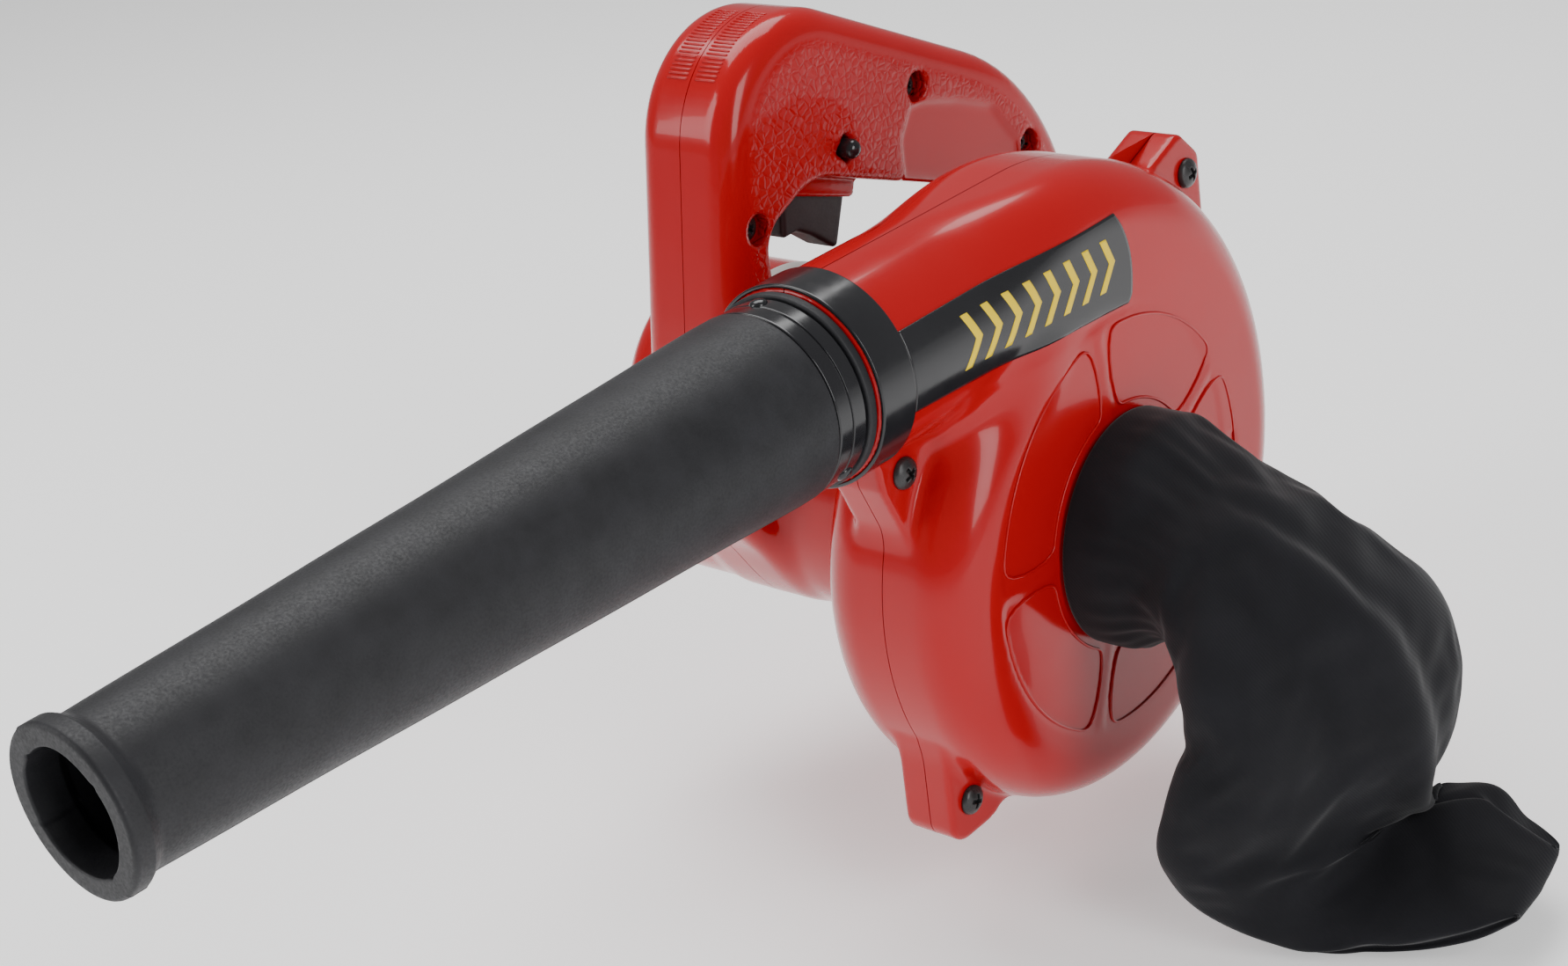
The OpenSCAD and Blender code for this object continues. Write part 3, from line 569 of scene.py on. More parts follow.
# -------- motor housing and handle
HANDLE_CORNERS = [(-62, 8, 24), (-25, -36, 20), (60, -36, 24), (124, -8, 26), (124, 87, 84),
                  (-35.5, 161, 37)]
HANDLE_OUTER = outline_field(rounded(HANDLE_CORNERS, 4))
HANDLE_OPENING = outline_field(rounded([(-31, 40, 6), (90, 40, 6), (90, 60, 5), (-8, 96, 22),
                                        (-31, 86, 10)], 4))
GRIP_PANEL = outline_field(rounded([(33, 78, 3), (33, 94, 4), (40, 104, 4), (62, 98, 8), (80, 91, 8),
                                    (94, 74, 4), (90, 62, 3)]))
DECK = (3, 16)            # axis of the raised deck, (y, z)
SCREW_RECESS_R = 4.7
LOCK_HOLE_R = 3.4
CORD_Z, CORD_R = 10, 6
GRAIN_STEP, PANEL_STEP = 0.5, 1.1       # how far the grain stands out and the grip's panel lies in


def grain_mask(y, z):
    """1 where the sides of the handle are grained."""
    inside = smooth_step(-8.5, -10.5, HANDLE_OUTER(y, z))
    clear = smooth_step(0.2, 2.0, GRIP_PANEL(y, z))
    return inside * clear


def slope_frame(y, z, at):
    """Coordinates along and square to the underside of the grip, from a point."""
    c, s = math.cos(GRIP_SLOPE), math.sin(GRIP_SLOPE)
    return (y - at[0]) * c + (z - at[1]) * s, -(y - at[0]) * s + (z - at[1]) * c


def box_2d(a, b, centre_a, half_a, centre_b, half_b, edge):
    """Field of a rectangle with rounded corners."""
    u, v = np.abs(a - centre_a) - half_a + edge, np.abs(b - centre_b) - half_b + edge
    return np.minimum(np.maximum(u, v), 0) + np.hypot(np.maximum(u, 0), np.maximum(v, 0)) - edge


def housing_field(x, y, z):
    """Both halves of the motor housing with its handle."""
    across = np.abs(x - HANDLE_X)
    outer, opening = HANDLE_OUTER(y, z), HANDLE_OPENING(y, z)
    relief = GRAIN_STEP * grain_mask(y, z) - PANEL_STEP * smooth_step(0.6, -1.6, GRIP_PANEL(y, z))
    side = across - (HANDLE_HALF - GRAIN_STEP)
    handle = slab(outer, side - relief, HANDLE_EDGE)
    handle = soft_max(handle, -opening, 4)
    r, r_deck = turned(y, z), turned(y, z, DECK)
    end = np.abs(x - (BARREL_RIGHT + BARREL_LEFT) / 2) - (BARREL_RIGHT - BARREL_LEFT) / 2
    barrel = slab(r - BARREL_R, end, np.where(x < HANDLE_X, BARREL_EDGE, 1.0))
    deck_end = np.abs(x - (DECK_RIGHT + BARREL_LEFT) / 2) - (DECK_RIGHT - BARREL_LEFT) / 2
    deck = slab(r_deck - BARREL_R, deck_end, np.where(x < HANDLE_X, BARREL_EDGE, 5.0))
    outside = soft_min(soft_min(barrel, deck, 4), handle, 6)
    along, square = slope_frame(y, z, (21, 85))
    guide = slab(box_2d(along, square, -15, 15, 0.4, 6, 1.5), across - 8.5, 1.2)
    outside = soft_min(outside, guide, 1.5)
    hollow = slab(outer, side, HANDLE_EDGE) + WALL + 0.8
    hollow = np.maximum(hollow, WALL + 1 - opening)
    left_end = BARREL_LEFT - x
    hollow = np.minimum(hollow, slab(r - BARREL_R, left_end, BARREL_EDGE) + WALL)
    deck_hollow = slab(r_deck - BARREL_R, left_end, BARREL_EDGE) + WALL
    hollow = np.minimum(hollow, np.maximum(deck_hollow, x - DECK_RIGHT + WALL))
    walls = np.maximum(outside, -hollow)
    for p in HANDLE_SCREWS:
        rp = turned(y, z, p)
        walls = np.minimum(walls, slab(rp - 5.9, np.abs(x + 75) - 9.2, 0.5))
        recess = slab(rp - SCREW_RECESS_R, np.abs(x + 60) - 12, 0.1)
        walls = soft_max(walls, -recess, 0.9)
    along, square = slope_frame(y, z, (22, 84.5))
    slot = np.maximum(box_2d(along, square, -19.85, 20.15, 0, 12, 0.2), across - 6.3)
    walls = np.maximum(walls, -slot)
    rp = turned(y, z, LOCK_AT)
    hole = rp - LOCK_HOLE_R
    for a in (0, 90, 180, 270):
        at = (LOCK_AT[0] + 3 * math.cos(math.radians(a)), LOCK_AT[1] + 3 * math.sin(math.radians(a)))
        hole = np.minimum(hole, turned(y, z, at) - 1.5)
    walls = soft_max(walls, -np.maximum(hole, -75 - x), 0.7)
    inlet = np.hypot(x - HANDLE_X, z - CORD_Z) - CORD_R
    walls = np.maximum(walls, -np.maximum(inlet, 113 - y))
    for i in (-3, -2, -1, 1, 2, 3):         # cooling slots, 8 mm apart
        vent = box_2d(y, z, 0, 22 - 2 * abs(i), 8 * i, 1.6, 1.5)
        walls = soft_max(walls, -np.maximum(vent, x + 128), 0.8)
    return walls


def make_housing():
    left, right = shell_pair("housing_left", "housing_right", housing_field, (-136.7, -64.6, -46.3),
                             (-25.2, 127.4, 145.2), HANDLE_X, RED_GRAINED)
    for obj, node in ((left, "left_housing"), (right, "right_housing")):
        co = np.zeros(len(obj.data.vertices) * 3)
        obj.data.vertices.foreach_get("co", co)
        fan = co.reshape(-1, 3) / MM + GRIP
        on_side = (np.abs(fan[:, 0] - HANDLE_X) > 14) & (np.abs(fan[:, 0] - HANDLE_X) < 20)
        mask = grain_mask(fan[:, 1], fan[:, 2]) * on_side * (HANDLE_OPENING(fan[:, 1], fan[:, 2]) > -0.5)
        grain = obj.data.attributes.new("grain", "FLOAT", "POINT")
        grain.data.foreach_set("value", mask.astype(np.float32))
        place_piece(obj, "casing", "red_shell", node)


make_housing()


# -------- turned and applied pieces
def outlet_point(d, r, a):
    """Point about the outlet's axis: d in front of the fan axis."""
    return np.stack([r * np.cos(a), -d + 0 * a, OUTLET_Z + r * np.sin(a)], -1)


def fan_point(d, r, a):
    """Point about the fan's axis."""
    return np.stack([d + 0 * a, r * np.cos(a), r * np.sin(a)], -1)


def profile_points(corners, longest=6.0, hold=0.25):
    """Rounded profile with points kept close to each bend, so flat parts shade flat."""
    bent = rounded(corners, 22)
    points = []
    for p, q in zip(bent, np.roll(bent, -1, axis=0)):
        length = np.linalg.norm(q - p)
        points.append(p)
        if length > 3 * hold:
            inner = max(1, math.ceil((length - 2 * hold) / longest))
            for t in np.linspace(hold, length - hold, inner + 1):
                points.append(p + (q - p) * t / length)
    return np.array(points)


def turn(name, corners, place, material, angles=None, shape=None, longest=6.0):
    """Closed profile of (distance along the axis, radius, corner radius) turned about an axis."""
    profile = profile_points(corners, longest)
    if angles is None:
        angles = np.linspace(0, 2 * math.pi, 145)[:-1]
    rings = []
    for d, r in profile:
        radius = r + (shape(d, r, angles) if shape else 0 * angles)
        rings.append(place(d, radius, angles))
    faces = ring_faces(len(profile), len(angles), closed=True)
    obj = mesh_object(name, np.concatenate(rings), faces, [material])
    outward(obj)
    return obj


def outward(obj):
    """Turns every face of a closed mesh outwards."""
    bm = bmesh.new()
    bm.from_mesh(obj.data)
    bmesh.ops.recalc_face_normals(bm, faces=bm.faces[:])
    bm.to_mesh(obj.data)
    bm.free()


def join(name, parts):
    """One object from several closed meshes that share their material slots."""
    with bpy.context.temp_override(active_object=parts[0], selected_editable_objects=parts):
        bpy.ops.object.join()
    parts[0].name = name
    return parts[0]


def dome(centre, out, radius, height, material):
    """Half-buried round knob whose base is at a point and whose top looks along out."""
    out = np.array(out, float) / np.linalg.norm(out)
    side = np.cross(out, (0, 1, 0.01))
    side /= np.linalg.norm(side)
    other = np.cross(out, side)
    points = []
    rows, columns = 12, 24
    for i in range(1, rows):
        t = math.pi * i / rows - math.pi / 2
        for j in range(columns):
            a = 2 * math.pi * j / columns
            points.append(centre + out * height * math.sin(t)
                          + (side * math.cos(a) + other * math.sin(a)) * radius * math.cos(t))
    points += [centre - out * height, centre + out * height]
    faces = ring_faces(rows - 1, columns)
    low, high = len(points) - 2, len(points) - 1
    for j in range(columns):
        k = (j + 1) % columns
        faces.append((low, k, j))
        faces.append((high, (rows - 2) * columns + j, (rows - 2) * columns + k))
    obj = mesh_object("knob", np.array(points), faces, [material])
    outward(obj)
    return obj


def make_nozzle():
    """Rubber nozzle: moulding ridge on two sides, slightly uneven wall, nicks in the tip's hole."""
    ridges = np.radians([128, 308])
    angles = np.sort(np.concatenate([np.linspace(0, 2 * math.pi, 161)[:-1] + 0.004,
                                     *[r + np.radians([-0.9, 0, 0.9]) for r in ridges]]))

    def uneven(d, r, a):
        wave = 0.10 * np.sin(2 * a + d / 37) + 0.06 * np.sin(3 * a - d / 23 + 1) + 0.05 * math.sin(d / 9)
        on_cone = float(smooth_step(115.6, 122, np.array(d)) * (r > 16))
        ridge = sum(0.16 * np.exp(-((a - t) * r / 0.35) ** 2) for t in ridges)
        tip = float(d > 309) * float(r < 15)
        nicks = sum(np.exp(-((a - t) / 0.05) ** 2) for t in (0.7, 2.4, 3.6, 5.3))
        return on_cone * (wave + ridge) + tip * (0.5 * nicks + 0.12 * np.sin(5 * a))

    corners = [(81, 20.9, 0.5), (81, 23.7, 1.2), (101.3, 23.7, 0.2), (101.3, 26, 0.7), (104.3, 26, 0.7),
               (104.3, 23.4, 0.3), (104.66, 23.4, 0.1), (104.66, 22.8, 0.1), (115.2, 22.8, 0.2),
               (115.2, 25.4, 0.8), (311.5, 17.55, 3), (314.5, 19.4, 0.8), (319, 19.4, 1.1),
               (319, 14.1, 0.5), (311, 14.1, 1), (309, 15.2, 2), (116, 21.0, 3)]
    nozzle = turn("nozzle_rubber", corners, outlet_point, RUBBER, angles, uneven)
    place_piece(nozzle, "front_nozzle", "black_rubber", "nozzle")


def make_collar():
    corners = [(87.4, OUTLET_R + 0.05, 0.15), (87.4, 27.5, 0.45), (100.7, 27.5, 0.45),
               (100.7, OUTLET_R + 0.05, 0.15)]
    collar = turn("collar_gloss", corners, outlet_point, GLOSS_BLACK)
    place_piece(collar, "casing", "gloss_black", "outlet_collar")


def make_ring():
    corners = [(104.72, 22.97, 0.2), (104.72, 25.2, 0.5), (109.6, 25.2, 0.25), (109.75, 24.8, 0.1),
               (110.05, 24.8, 0.1), (110.2, 25.2, 0.25), (115.0, 25.2, 0.5), (115.0, 22.97, 0.2)]
    ring = turn("ring_bands", corners, outlet_point, GLOSS_BLACK)
    knobs = []
    for a in np.radians([-42, 95, 222]):
        out = np.array([math.cos(a), 0, math.sin(a)])
        knobs.append(dome(np.array([0, -108.1, OUTLET_Z]) + 24.9 * out, out, 2.4, 1.5, GLOSS_BLACK))
    ring = join("ring_gloss", [ring] + knobs)
    place_piece(ring, "locking_ring", "gloss_black", "nozzle_ring")


def make_connector():
    """Ring between the neck and the bag's mouth."""
    corners = [(28.4, NECK_R + 0.3, 0.2), (28.4, 33.4, 0.4), (38, 33.2, 0.8), (38, INTAKE_R, 0.6),
               (34.2, INTAKE_R, 0.3), (34.2, NECK_R + 0.3, 0.2)]
    ring = turn("bag_ring_gloss", corners, fan_point, GLOSS_BLACK)
    place_piece(ring, "bag", "gloss_black", "bag_connector")


def screw(name, at, turned_by, length, head_radius):
    """Pan-head cross-recess screw along X: head field on a fine grid and a threaded shank."""
    c, s = math.cos(turned_by), math.sin(turned_by)

    def head(x, y, z):
        w, u0, v0 = x - at[0], y - at[1], z - at[2]
        u, v = u0 * c + v0 * s, v0 * c - u0 * s
        r = np.hypot(u, v)
        crown = np.sqrt(r * r + (w + 3.6) ** 2) - 6.5
        body = soft_max(soft_max(r - head_radius, crown, 0.7), -w, 0.4)
        reach = head_radius * 0.52 - 0.4 * (2.9 - w)
        cross = np.minimum(np.maximum(np.abs(u) - 0.55, np.abs(v) - reach),
                           np.maximum(np.abs(v) - 0.55, np.abs(u) - reach))
        cross = np.minimum(cross, r - 0.95 + 0.35 * (2.9 - w))
        return soft_max(body, -np.maximum(cross, 1.0 - w), 0.25)

    m = head_radius + 0.6
    low, high = (at[0] - 0.5, at[1] - m, at[2] - m), (at[0] + 3.5, at[1] + m, at[2] + m)
    points, quads = surface_net(head, low, high, 0.19)
    parts = [mesh_object(name, settle(head, points, quads, 1), quads, [SCREW_BLACK])]
    rings, rows, columns = [], int(length / 0.35), 18
    for i in range(rows + 1):
        d = 0.3 - (length + 0.3) * i / rows
        for j in range(columns):
            a = 2 * math.pi * j / columns
            thread = 0.22 * math.cos(2 * math.pi * (d / 1.4) - a) - 0.2
            r = (1.88 + thread) * (1 if i < rows - 3 else (rows - i + 1) / 5)
            rings.append((at[0] + d, at[1] + r * math.cos(a), at[2] + r * math.sin(a)))
    faces = ring_faces(rows + 1, columns)
    faces += [tuple(range(columns)), tuple(range(rows * columns, (rows + 1) * columns))]
    shank = mesh_object(name + "_shank", np.array(rings), faces, [SCREW_BLACK])
    outward(shank)
    parts.append(shank)
    return parts


def make_screws():
    parts = []
    for i, (y, z) in enumerate(LUG_SCREWS):
        parts += screw("volute_screw", (8.05, y, z), 0.3 + 0.9 * i, 15, 4.5)
    place_piece(join("volute_screw_set", parts), "casing", "black_screw", "volute_screws")
    parts = []
    for i, (y, z) in enumerate(HANDLE_SCREWS):
        parts += screw("handle_screw", (HANDLE_X + 12, y, z), 0.5 + 0.7 * i, 20, 3.9)
    place_piece(join("handle_screw_set", parts), "casing", "black_screw", "handle_screws")


def make_ribs():
    """Fine grip ribs across the front of the handle, each side of the seam."""
    outline = rounded(HANDLE_CORNERS, 1.5)
    length = run_length(outline)
    first, last = sorted(length[np.argmin(np.hypot(outline[:, 0] - y, outline[:, 1] - z))]
                         for y, z in ((-10, 143), (-46, 105)))
    last = first + 0.58 * (last - first)
    sides = 12                 # of each rib's round section
    for side, name in ((-1, "grip_ribs_left"), (1, "grip_ribs_right")):
        points, faces = [], []
        for t in np.linspace(first, last, 21):
            y, z = np.interp(t, length, outline[:, 0]), np.interp(t, length, outline[:, 1])
            y1, z1 = np.interp(t + 1, length, outline[:, 0]), np.interp(t + 1, length, outline[:, 1])
            along = np.array([y1 - y, z1 - z]) / math.hypot(y1 - y, z1 - z)
            out = np.array([along[1], -along[0]])
            if HANDLE_OUTER(y + out[0], z + out[1]) < 0:
                out = -out
            start = len(points)
            spots = [(1.3, 0.35), (1.5, 0.75), (1.9, 1), (4, 1), (7, 1), (8.6, 1), (9.0, 0.75),
                     (9.2, 0.35)]       # distance from the seam, share of the full size
            for x, size in spots:
                for j in range(sides):
                    a = 2 * math.pi * j / sides
                    q = np.array([y, z]) + 0.4 * size * math.cos(a) * along \
                        + (0.36 * size * math.sin(a) - 0.02) * out
                    points.append((HANDLE_X + side * x, q[0], q[1]))
            faces += [tuple(start + k for k in quad) for quad in ring_faces(len(spots), sides)]
            faces.append(tuple(range(start, start + sides)))
            faces.append(tuple(range(len(points) - sides, len(points))))
        ribs = mesh_object(name, np.array(points), faces, [RED])
        outward(ribs)
        place_piece(ribs, "casing", "red_shell")


def side_x(y, z):
    """X of the casing's outer surface on the intake side, at places given by y and z."""
    low, high = np.full(y.shape, 8.0), np.full(y.shape, 31.0)
    for _ in range(26):
        middle = (low + high) / 2
        inside = casing_body(middle, y, z) < 0
        low, high = np.where(inside, middle, low), np.where(inside, high, middle)
    return (low + high) / 2


def lift(y, z, height):
    """Points a height above the casing's side."""
    p = np.stack([side_x(y, z), y, z], -1)
    h = 0.2
    flat = p.reshape(-1, 3)
    g = np.stack([casing_body(*(flat + e).T) - casing_body(*(flat - e).T) for e in np.eye(3) * h], -1)
    g /= np.linalg.norm(g, axis=-1, keepdims=True)
    return (flat + height * g).reshape(p.shape)


def film(name, y, z, bottom, top, material):
    """Thin film laid on the casing's side over a grid of places."""
    n, m = y.shape
    points = np.concatenate([lift(y, z, bottom).reshape(-1, 3), lift(y, z, top).reshape(-1, 3)])
    faces = []
    for i in range(n - 1):
        for j in range(m - 1):
            a, b, c, d = i * m + j, (i + 1) * m + j, (i + 1) * m + j + 1, i * m + j + 1
            faces += [(a, b, c, d), (n * m + d, n * m + c, n * m + b, n * m + a)]
    rim = [i * m for i in range(n)] + [(n - 1) * m + j for j in range(1, m)]
    rim += [i * m + m - 1 for i in range(n - 2, -1, -1)] + [j for j in range(m - 2, 0, -1)]
    faces += [(a, b, n * m + b, n * m + a) for a, b in zip(rim, rim[1:] + rim[:1])]
    obj = mesh_object(name, points, faces, [material])
    outward(obj)
    return obj


def make_label():
    """Black film along the tube with a plain row of yellow chevrons."""
    u, v = np.meshgrid(np.linspace(0, 1, 110), np.linspace(0, 1, 34), indexing="ij")
    right = (10.2 - 1.6 * v - 3.5 * v ** 3 + 2.2 * np.sin(math.pi * v)
             - 1.5 * np.maximum(0, 0.08 - v) / 0.08)
    y = -86.9 + (right + 86.9) * u
    low = 70.0 - 6.0 * (y + 86.9) / 97
    z = low + (91.2 - low) * v
    label = film("tube_label", y, z, 0.03, 0.28, GLOSS_BLACK)
    place_piece(label, "casing", "label_black", "side_label")
    marks = []
    for i in range(8):
        start = -66 + 8.7 * i
        u, v = np.meshgrid(np.linspace(0, 1, 5), np.linspace(0, 1, 21), indexing="ij")
        y = start + 4.6 * (1 - np.abs(2 * v - 1)) + 3.0 * u + 1.5 * v
        z = 73.2 - 2.2 * (y + 66) / 70 + (14.0 + 0.8 * (y + 66) / 70) * v
        marks.append(film("label_mark", y, z, 0.25, 0.36, FILM))
    place_piece(join("label_chevrons", marks), "casing", "film_yellow")


def tube_along(points, radius, sides=8):
    """Closed ring of round section along a closed path on the cover's face."""
    ahead = np.roll(points, -1, axis=0) - np.roll(points, 1, axis=0)
    ahead /= np.linalg.norm(ahead, axis=1, keepdims=True)
    across = np.stack([0 * ahead[:, 0], -ahead[:, 2], ahead[:, 1]], -1)
    rings = []
    for j in range(sides):
        a = 2 * math.pi * j / sides
        rings.append(points + radius * (math.cos(a) * across + math.sin(a) * np.array([1, 0, 0])))
    return np.stack(rings, 1).reshape(-1, 3), ring_faces(len(points), sides, closed=True)


def make_cover_lines():
    """Fine raised line round each panel of the cover."""
    points, faces = [], []
    beside_spoke, radius, sunk = 2.0, 0.42, 0.08
    spokes = sorted(SPOKES)
    for start, end in zip(spokes, spokes[1:] + [spokes[0] + 360]):
        outline = []
        for r, first, last in ((PANEL_LINES[0], start, end), (PANEL_LINES[1], end, start)):
            inset = math.copysign(math.degrees(beside_spoke / r), last - first)
            for a in np.linspace(first + inset, last - inset, 40):
                outline.append((r * math.cos(math.radians(a)), r * math.sin(math.radians(a))))
        even = np.array(outline)
        for _ in range(6):         # rounds the four corners
            even = 0.25 * np.roll(even, 1, axis=0) + 0.5 * even + 0.25 * np.roll(even, -1, axis=0)
        closed = np.concatenate([even, even[:1]])
        length = run_length(closed)
        t = np.linspace(0, length[-1], 161)[:-1]
        y, z = np.interp(t, length, closed[:, 0]), np.interp(t, length, closed[:, 1])
        ring, quads = tube_along(np.stack([0 * y + CASING_HALF - sunk, y, z], -1), radius)
        faces += [tuple(k + len(points) for k in q) for q in quads]
        points += ring.tolist()
    lines = mesh_object("cover_lines", np.array(points), faces, [RED])
    outward(lines)
    place_piece(lines, "casing", "red_shell")


def make_trigger():
    """Trigger, hollow above for its spring."""
    outline = outline_field(rounded([(-12, 76.5, 1.5), (-5, 76.8, 3), (1, 73.5, 3), (11.8, 65.4, 1.5),
                                     (17.6, 80, 0.8), (21, 93, 2), (-10, 98, 2)]))

    def field(x, y, z):
        along, square = slope_frame(y, z, (6, 91))
        bore = np.maximum(np.hypot(x - HANDLE_X, along) - 3.4, -square)
        return np.maximum(slab(outline(y, z), np.abs(x - HANDLE_X) - 5.97, 1.3), -bore)

    low, high = (-91.2, -13.7, 62.2), (-76.8, 23.2, 100.2)
    points, quads = surface_net(field, low, high, 0.55)
    trigger = mesh_object("trigger_lever_black", settle(field, points, quads), quads, [MATT_BLACK])
    place_piece(trigger, "trigger_lever", "matt_black", "trigger")


make_nozzle()
make_collar()
make_ring()
make_connector()
make_screws()
make_ribs()
make_label()
make_cover_lines()
make_trigger()


# -------- dust bag
# Stations of the bag: middle (x, y, z), half width, half thickness, tilt and turn in degrees, lift of
# the far edge
BAG_STATIONS = [(28.2, 0, 0, 34.3, 34.3, 0, 0, 0), (34, 0, 0, 34.3, 34.3, 0, 0, 0),
                (40, 0, 0, 34, 33, 2, 0, 0), (48, 0, 0, 32, 29, 6, 0, 0), (58, -1, -2, 33, 25, 14, 2, 0),
                (71, -2, -8, 37, 22, 34, 8, 0), (84, -3, -19, 43, 21, 58, 16, 0),
                (89, -4, -36, 45, 20, 76, 22, 0), (87, -7, -56, 46, 18, 94, 26, 0),
                (83, -8, -75, 44, 17, 96, 26, 2), (87, -5, -92, 39, 15, 62, 22, 8),
                (99, 2, -102, 35, 11, 18, 12, 17), (117, 10, -101, 32, 9, -16, 4, 17),
                (131, 13, -96, 26, 7, -34, -4, 8), (143, 13, -90, 20, 3, -40, -6, 0)]


def smooth_stations(rows):
    """Stations resampled on a smooth curve."""
    s = np.array(BAG_STATIONS, float)
    place = run_length(s[:, :3])
    t = np.linspace(0, place[-1], rows)
    k = np.clip(np.searchsorted(place, t, side="right") - 1, 0, len(s) - 2)
    slope = np.gradient(s, place, axis=0)
    h = (place[k + 1] - place[k])[:, None]
    f = (t - place[k])[:, None] / h
    return ((1 + 2 * f) * (1 - f) ** 2 * s[k] + f * (1 - f) ** 2 * h * slope[k]
            + f * f * (3 - 2 * f) * s[k + 1] + f * f * (f - 1) * h * slope[k + 1]), t


def bag_shape(rows, columns):
    """Points of the bag before its cloth settles, ring by ring from the mouth to the closed end."""
    stations, run = smooth_stations(rows)
    a = np.linspace(0, 2 * math.pi, columns + 1)[:-1]
    rings = []
    for (x, y, z, wide, thick, tilt, yaw, lift), d in zip(stations, run):
        at_mouth = smooth_step(3, 9, d) * smooth_step(34, 14, d)
        gather = 0.55 * np.sin(26 * a + 0.7 * np.sin(3 * a)) * at_mouth
        fold = smooth_step(20, 70, d)
        ridge_at = 1.6 - (d - 60) / 70          # runs down the bag from its middle to its far edge
        crease = 1 - fold * (0.20 * np.exp(-((a - ridge_at - 0.6) / 0.32) ** 2)
                             + 0.16 * np.exp(-((a - 4.3 + d / 190) / 0.28) ** 2))
        ridge = 5 * fold * smooth_step(165, 130, d) * np.exp(-((a - ridge_at) / 0.2) ** 2)
        w = (thick + gather) * np.sin(a) * crease + ridge
        v = (wide + gather) * np.cos(a) * crease
        t, s = math.radians(tilt), math.radians(yaw)
        out = w * math.sin(t)
        rings.append(np.stack([x + v * math.sin(s) + out * math.cos(s),
                               y + v * math.cos(s) - out * math.sin(s),
                               z + w * math.cos(t) + lift * (1 + np.cos(a)) / 2], -1))
    return np.array(rings)


def cloth_material():
    """Black twill: diagonal threads, broken up by a fine noise."""
    m, tree, shader = node_material("black_twill", (0.010, 0.010, 0.012), 0.85, Sheen_Weight=0.15,
                                    Sheen_Roughness=0.4, Specular_IOR_Level=0.25)
    coords = object_coords(tree)
    broad = noise(tree, 40, 4, coords)
    tree.links.new(ramp(tree, broad.outputs[0], 0.3, 0.75, (0.005, 0.005, 0.007), (0.010, 0.010, 0.013)),
                   shader.inputs["Base Color"])
    twill = add_node(tree, "TexWave", Scale=520.0, Distortion=1.2, Detail=1.0)
    twill.bands_direction = "DIAGONAL"
    tree.links.new(coords, twill.inputs["Vector"])
    threads = noise(tree, 1400, 2, coords)
    mixed = add_node(tree, "Math", operation="MULTIPLY")
    tree.links.new(twill.outputs[1], mixed.inputs[0])
    tree.links.new(threads.outputs[0], mixed.inputs[1])
    bump(tree, shader, mixed.outputs[0], 0.5, 0.0001)
    return m


CLOTH = cloth_material()


def applied(obj):
    """Replaces the mesh with what its modifiers make of it."""
    graph = bpy.context.evaluated_depsgraph_get()
    mesh = bpy.data.meshes.new_from_object(obj.evaluated_get(graph))
    obj.modifiers.clear()
    obj.data = mesh


def settle_cloth(obj, hold, frames, slack, most):
    """Lets the cloth slacken and hang; hold is 1 where it is fastened.

    No point moves further than most. Returns how far the furthest one wanted to go."""
    group = obj.vertex_groups.new(name="hold")
    for i, w in enumerate(hold):
        group.add([i], float(w), "REPLACE")
    start = np.array([v.co[:] for v in obj.data.vertices])
    cloth = obj.modifiers.new("cloth", "CLOTH")
    c = cloth.settings
    c.quality = 6
    c.mass = 0.15
    c.vertex_group_mass = "hold"
    c.pin_stiffness = 1.0
    c.tension_stiffness = c.compression_stiffness = 20
    c.shear_stiffness = 8
    c.bending_stiffness = 8
    c.air_damping = 3
    c.shrink_min = -slack
    cloth.collision_settings.use_collision = False
    cloth.point_cache.frame_start, cloth.point_cache.frame_end = 1, frames
    scene = bpy.context.scene
    for f in range(1, frames + 1):
        scene.frame_set(f)
    moved = obj.evaluated_get(bpy.context.evaluated_depsgraph_get()).data
    now = np.array([v.co[:] for v in moved.vertices])
    obj.modifiers.remove(cloth)
    obj.vertex_groups.clear()
    scene.frame_set(1)
    step = now - start
    length = np.linalg.norm(step, axis=1, keepdims=True)
    step *= most * np.tanh(length / most) / np.maximum(length, 1e-9)
    obj.data.vertices.foreach_set("co", (start + step).astype(np.float32).ravel())
    return float(length.max())


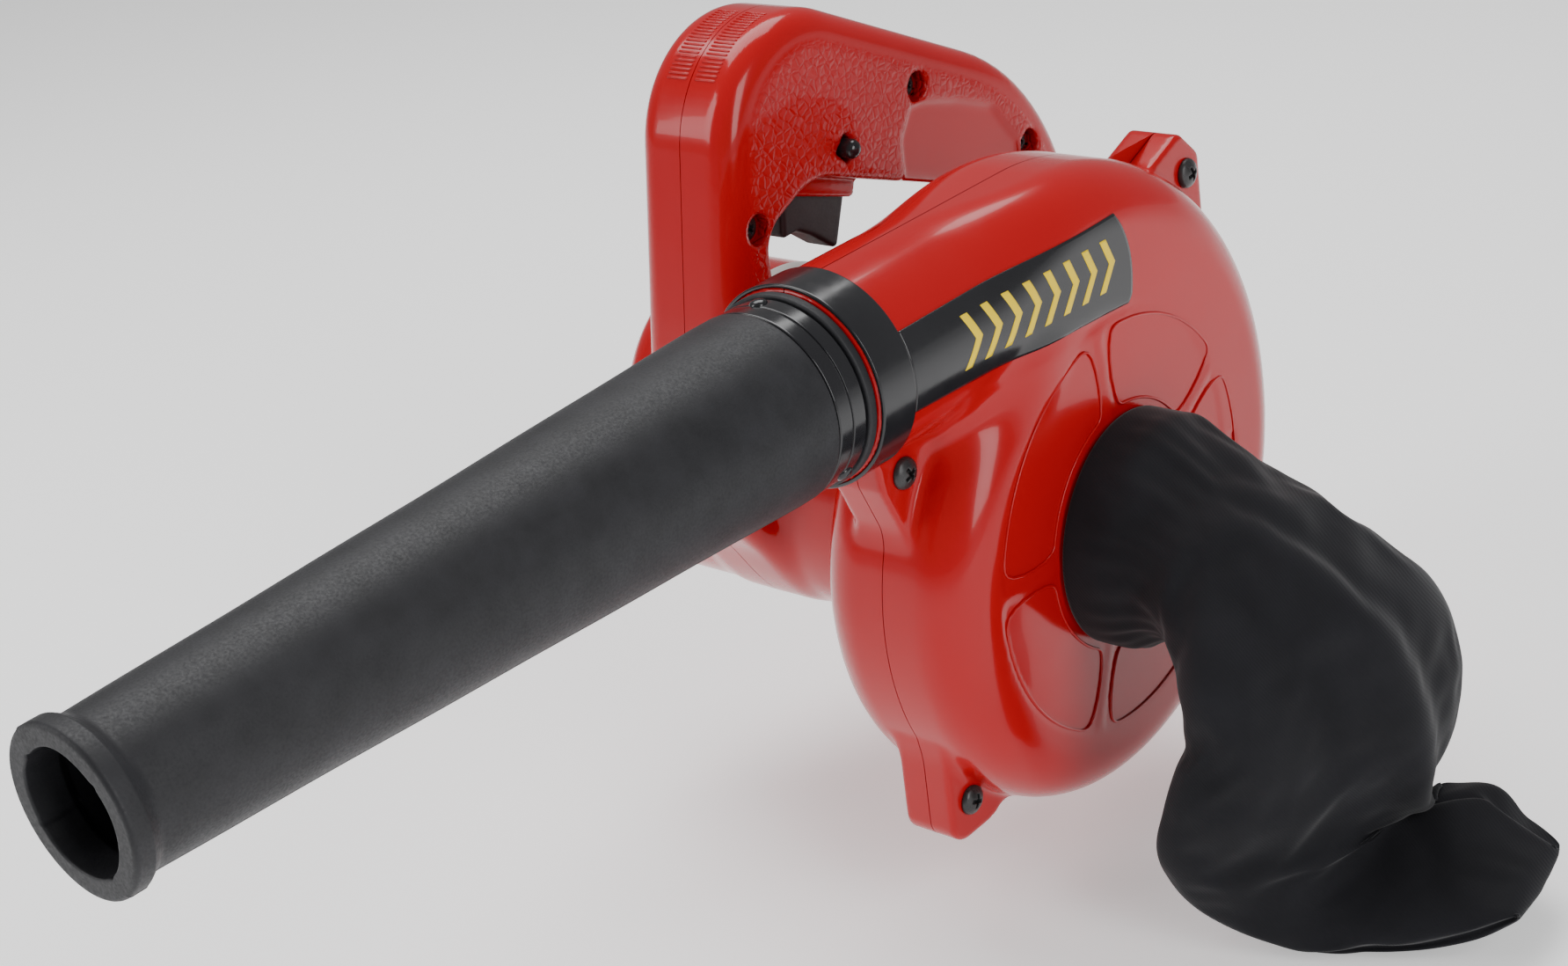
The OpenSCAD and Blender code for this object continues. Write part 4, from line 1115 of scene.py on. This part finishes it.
def make_bag():
    """Dust bag: a tube of cloth held by its mouth, sewn flat at its end."""
    rows, columns = 52, 56
    points = bag_shape(rows, columns).reshape(-1, 3)
    faces = ring_faces(rows, columns)
    end, half = (rows - 1) * columns, columns // 2
    for j in range(half):      # the end is sewn flat, front half to back half
        ring = (end + j, end + j + 1, end + (columns - j - 1) % columns, end + (columns - j) % columns)
        faces.append(tuple(dict.fromkeys(ring)))
    bag = mesh_object("bag_cloth", points, [f for f in faces if len(f) > 2], [CLOTH])
    outward(bag)
    row = np.repeat(np.arange(rows), columns) / (rows - 1)
    hold = np.where(row < 0.055, 1.0, 0.36 - 0.06 * smooth_step(0.06, 0.5, row))
    far = settle_cloth(bag, hold, frames=36, slack=0.04, most=0.010)
    print("bag moved", round(far * 1000, 1), "mm")
    bag.modifiers.new("smooth", "SUBSURF").levels = 2
    wall = bag.modifiers.new("wall", "SOLIDIFY")
    wall.thickness, wall.offset = 0.0007, -1
    applied(bag)
    bag.data.polygons.foreach_set("use_smooth", [True] * len(bag.data.polygons))
    place_piece(bag, "bag", "bag_cloth", "dust_bag")


make_bag()


# -------- light and floor
def area_light(name, at, towards, size, power):
    """Rectangular white light that looks at a point."""
    data = bpy.data.lights.new(name, "AREA")
    data.shape = "RECTANGLE"
    data.size, data.size_y = size
    data.energy = power
    light = bpy.data.objects.new(name, data)
    bpy.context.scene.collection.objects.link(light)
    light.location = at
    light.rotation_euler = (Vector(towards) - Vector(at)).to_track_quat("-Z", "Y").to_euler()


def make_stage():
    """White floor, white world and three soft lights."""
    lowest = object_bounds()[0][2]
    bpy.ops.mesh.primitive_plane_add(size=30, location=(0, 0, lowest - 0.0005))
    floor = bpy.context.object
    floor.name = "floor"
    m, _, shader = node_material("floor_white", (0.92, 0.92, 0.92), 0.9, Emission_Strength=0.4)
    shader.inputs["Emission Color"].default_value = (1, 1, 1, 1)
    floor.data.materials.append(m)
    world = bpy.data.worlds.new("studio")
    bpy.context.scene.world = world
    world.use_nodes = True
    world.node_tree.nodes["Background"].inputs[0].default_value = (1, 1, 1, 1)
    world.node_tree.nodes["Background"].inputs[1].default_value = 0.3
    area_light("overhead", (-0.35, 0.25, 1.15), (0.02, -0.08, -0.1), (1.3, 0.8), 19)
    area_light("right", (1.15, -0.35, 0.45), (0.08, -0.05, -0.1), (0.45, 0.95), 8)
    area_light("left", (-0.75, -1.15, 0.6), (0.0, -0.1, -0.1), (0.5, 0.9), 8)


make_stage()
